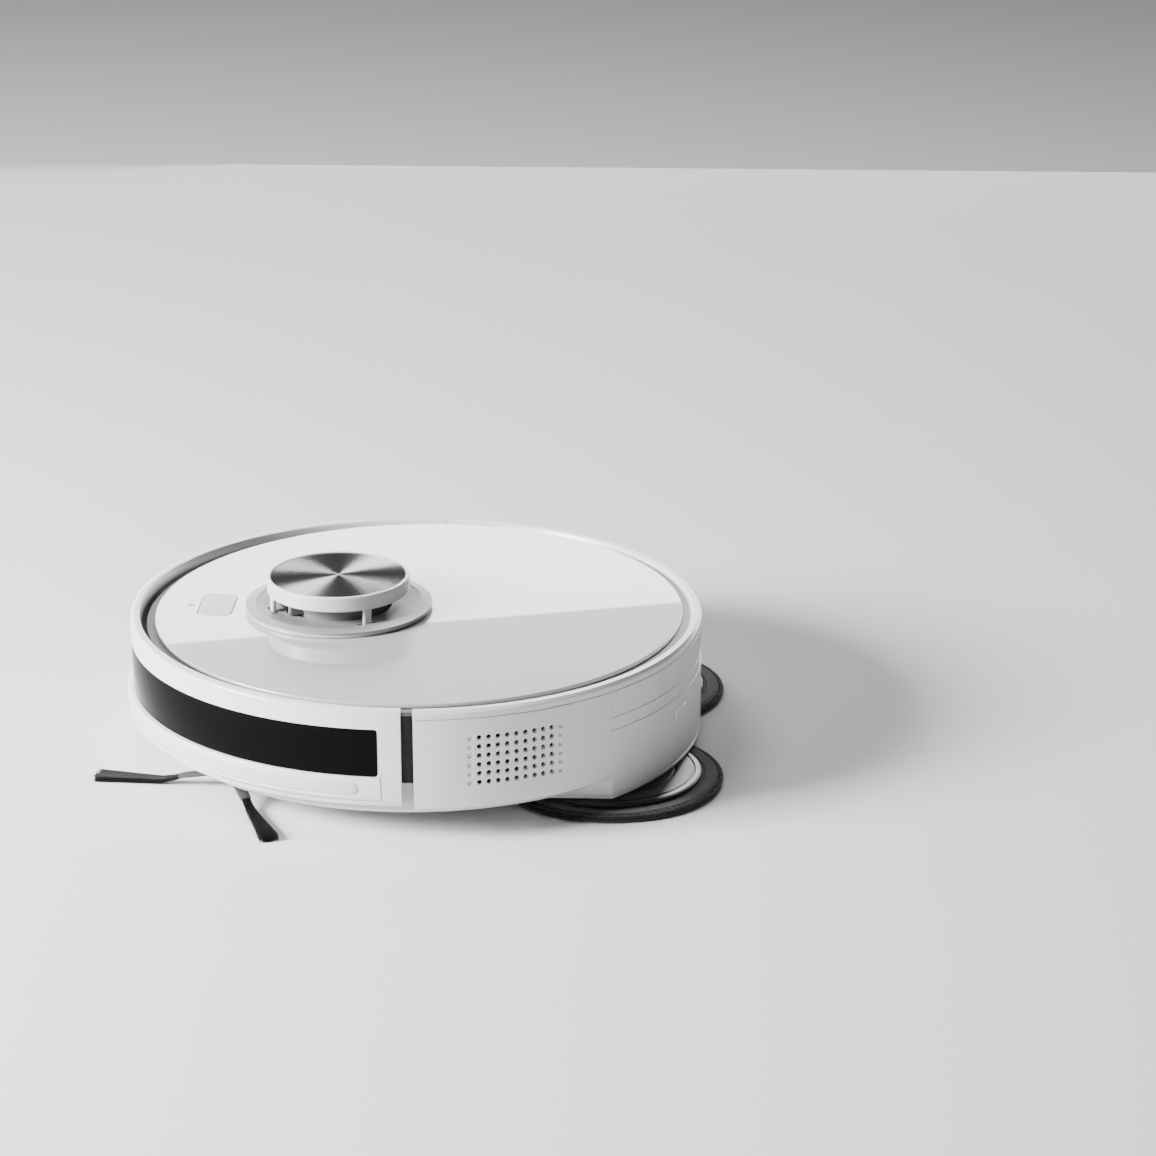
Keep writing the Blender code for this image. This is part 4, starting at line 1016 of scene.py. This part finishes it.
def pad_section():
    """Half of the pad's section: flat where it rests, full at the edge, a seam near the rim."""
    return [(0.6, 0.3), (20, 0.3), (40, 0.3), (58, 0.3), (65.5, 0.35), (67.8, 0.7), (68.9, 1.5), (69.2, 2.5),
            (68.8, 3.5), (67.7, 4.2), (66.7, 4.3), (66.1, 3.9), (65.6, 4.35), (64.2, 4.75), (61.0, 4.8),
            (58.6, 4.7), (57.9, 4.3), (57.0, 4.3), (40, 4.3), (20, 4.3), (0.6, 4.3)]


def sewn_pad(name, centre, mat):
    """The stuffed disc. Cloth, blown up a little, swells it by no more than SWELL between its seams."""
    pad = turned_z(name, pad_section(), centre, mat, step=2.5, edge=0.0, sharp=70)
    mesh = pad.data
    start = [v.co.copy() for v in mesh.vertices]
    held = pad.vertex_groups.new(name="held")
    for v in mesh.vertices:
        r = (v.co.xy - Vector(centre) * MM).length / MM
        if r < 57.5 or 65.9 < r < 66.3:
            held.add([v.index], 1.0, "REPLACE")
    cloth = pad.modifiers.new("cloth", "CLOTH")
    cloth.settings.vertex_group_mass = "held"
    cloth.settings.use_pressure = True
    cloth.settings.uniform_pressure_force = 2.0
    cloth.settings.effector_weights.gravity = 0.0
    cloth.settings.quality = 6
    scene = bpy.context.scene
    for number in range(1, 13):
        scene.frame_set(number)
    applied(pad)
    scene.frame_set(1)
    mesh = pad.data
    chance = random.Random(7)
    for v, home in zip(mesh.vertices, start):
        move = v.co - home
        if move.length > SWELL * MM:
            move = move.normalized() * SWELL * MM
        v.co = home + move + Vector((0, 0, chance.uniform(-0.03, 0.03) * MM))
        v.co.z = max(v.co.z, 0.05 * MM)
    mesh.materials.clear()
    mesh.materials.append(mat)
    mesh.polygons.foreach_set("use_smooth", [True] * len(mesh.polygons))
    rounding = pad.modifiers.new("rounding", "SUBSURF")
    rounding.levels = 1
    rounding.render_levels = 1
    return applied(pad)


def overlock(name, centre, mat):
    """The thread that binds the pad's edge: short loops from the seam over the rim."""
    points, faces = [], []
    count, sides = 230, 4
    path = ((66.2, 4.25), (67.7, 4.42), (69.0, 3.6), (69.42, 2.5), (69.05, 1.4))
    for i in range(count):
        base = len(points)
        for j, (r, z) in enumerate(path):
            t = 2 * pi * (i + 0.12 * j) / count
            for k in range(sides):
                a = 2 * pi * k / sides
                side = Vector((-sin(t), cos(t))) * 0.42 * cos(a)
                points.append((centre[0] + (r + 0.05 * sin(a)) * cos(t) + side.x,
                               centre[1] + (r + 0.05 * sin(a)) * sin(t) + side.y, z + 0.22 * sin(a)))
        for j in range(len(path) - 1):
            for k in range(sides):
                a, m = base + sides * j, (k + 1) % sides
                faces.append((a + k, a + m, a + sides + m, a + sides + k))
        last = base + sides * (len(path) - 1)
        faces += [tuple(base + k for k in range(sides)), tuple(last + k for k in range(sides))]
    return mesh_piece(name, points, faces, mat, 60)


pad_pile = microfibre("pad_pile", (0.022, 0.023, 0.026), 900.0, 0.9)
edge_thread = microfibre("edge_thread", (0.018, 0.019, 0.021), 2400.0, 0.5)
ring_loop = microfibre("ring_loop", (0.085, 0.092, 0.103), 1500.0, 0.7)
plate_grey = moulded("plate_grey", (0.03, 0.031, 0.034), 0.5, grain=900.0, relief=0.2)
for side, way in (("left", 1), ("right", -1)):
    centre = (way * 73.5, 120.0)
    pad = sewn_pad(f"mop_pad_{side}", centre, pad_pile)
    mount(pad, f"mop_{side}", [f"mop_cloth_{side}"])
    band = [(58.8, 4.5), (64.0, 4.5), (64.0, 4.95), (58.8, 4.95)]
    mount(turned_z(f"loop_ring_{side}", band, centre, ring_loop, step=2.0, edge=0.15), f"mop_{side}",
          [f"mop_cloth_{side}"])
    stitch = overlock(f"edge_stitch_{side}", centre, edge_thread)
    mount(stitch, f"mop_{side}", [f"mop_cloth_{side}"])
    disc = [(0.4, 5.3), (56.0, 5.3), (56.0, 6.5), (54.8, 7.3), (52.5, 7.5), (52.2, 6.9), (51.2, 6.9),
            (50.9, 7.55), (41.0, 7.55), (40.7, 6.9), (39.7, 6.9), (39.4, 7.55), (4.6, 7.55),
            (4.4, 22.8), (0.4, 22.8)]
    mount(turned_z(f"pad_plate_{side}", disc, centre, plate_grey, step=3.0, edge=0.25), f"mop_{side}",
          [f"mop_plate_{side}"])


# ---- Studio ----
# A broad pale floor, a strong soft light ahead of the robot and a weak one above it. Two strips and a
# wide card beyond the robot are only mirrored: the deck shows the card, the spun disc only the strips.


def studio_floor():
    work = bmesh.new()
    bmesh.ops.create_grid(work, x_segments=8, y_segments=8, size=60.0)
    mesh = bpy.data.meshes.new("studio_floor")
    work.to_mesh(mesh)
    work.free()
    paper = moulded("floor_paper", (0.90, 0.90, 0.90), 0.85, grain=500.0, relief=0.02, mottle=0.004)
    mesh.materials.append(paper)
    obj = bpy.data.objects.new("studio_floor", mesh)
    bpy.context.scene.collection.objects.link(obj)
    return obj


def soft_light(name, spot, target, size, power, card=False):
    """A rectangular light of size (width, height) aimed at target. A card is only mirrored."""
    data = bpy.data.lights.new(name, "AREA")
    data.shape = "RECTANGLE"
    data.size, data.size_y = size
    data.energy = power
    obj = bpy.data.objects.new(name, data)
    bpy.context.scene.collection.objects.link(obj)
    obj.location = spot
    obj.rotation_euler = (Vector(target) - Vector(spot)).to_track_quat("-Z", "Y").to_euler()
    obj.visible_camera = False
    obj.visible_diffuse = not card
    return obj


studio_floor()
soft_light("front_light", (0.75, -1.9, 0.95), (0, 0, 0.05), (0.8, 0.7), 215.0)
soft_light("top_light", (-0.2, -0.9, 2.3), (0, 0, 0), (1.0, 0.9), 22.0)
soft_light("front_strip", (-1.23, -0.53, 1.30), (0, -0.05, 0.1), (0.12, 0.6), 9.0, True)
soft_light("rear_strip", (-1.21, 0.41, 1.36), (0, -0.05, 0.1), (0.14, 0.8), 85.0, True)
far_card = soft_light("far_card", (-1.6, -0.12, 0.33), (0, -0.12, 0.33), (6.0, 0.70), 115.0, True)
far_card.rotation_euler.rotate_axis("Z", radians(5.8))
shaded = bpy.data.collections.new("shaded_from_far_card")
shaded.objects.link(bpy.data.objects["spun_disc"])
far_card.light_linking.receiver_collection = shaded
shaded.collection_objects[0].light_linking.link_state = "EXCLUDE"

world = bpy.data.worlds.new("studio_air")
world.use_nodes = True
air = world.node_tree.nodes["Background"]
air.inputs["Color"].default_value = (0.95, 0.96, 1.0, 1)
air.inputs["Strength"].default_value = 0.07
bpy.context.scene.world = world

lens = bpy.data.cameras.new("camera")
lens.lens = 107.4
lens.sensor_width = 36.0
camera = bpy.data.objects.new("camera", lens)
bpy.context.scene.collection.objects.link(camera)
camera.location = (2.0042, 0.1788, 0.8127)
camera.rotation_euler = Vector((-0.9420, -0.0378, -0.3336)).to_track_quat("-Z", "Y").to_euler()
bpy.context.scene.camera = camera
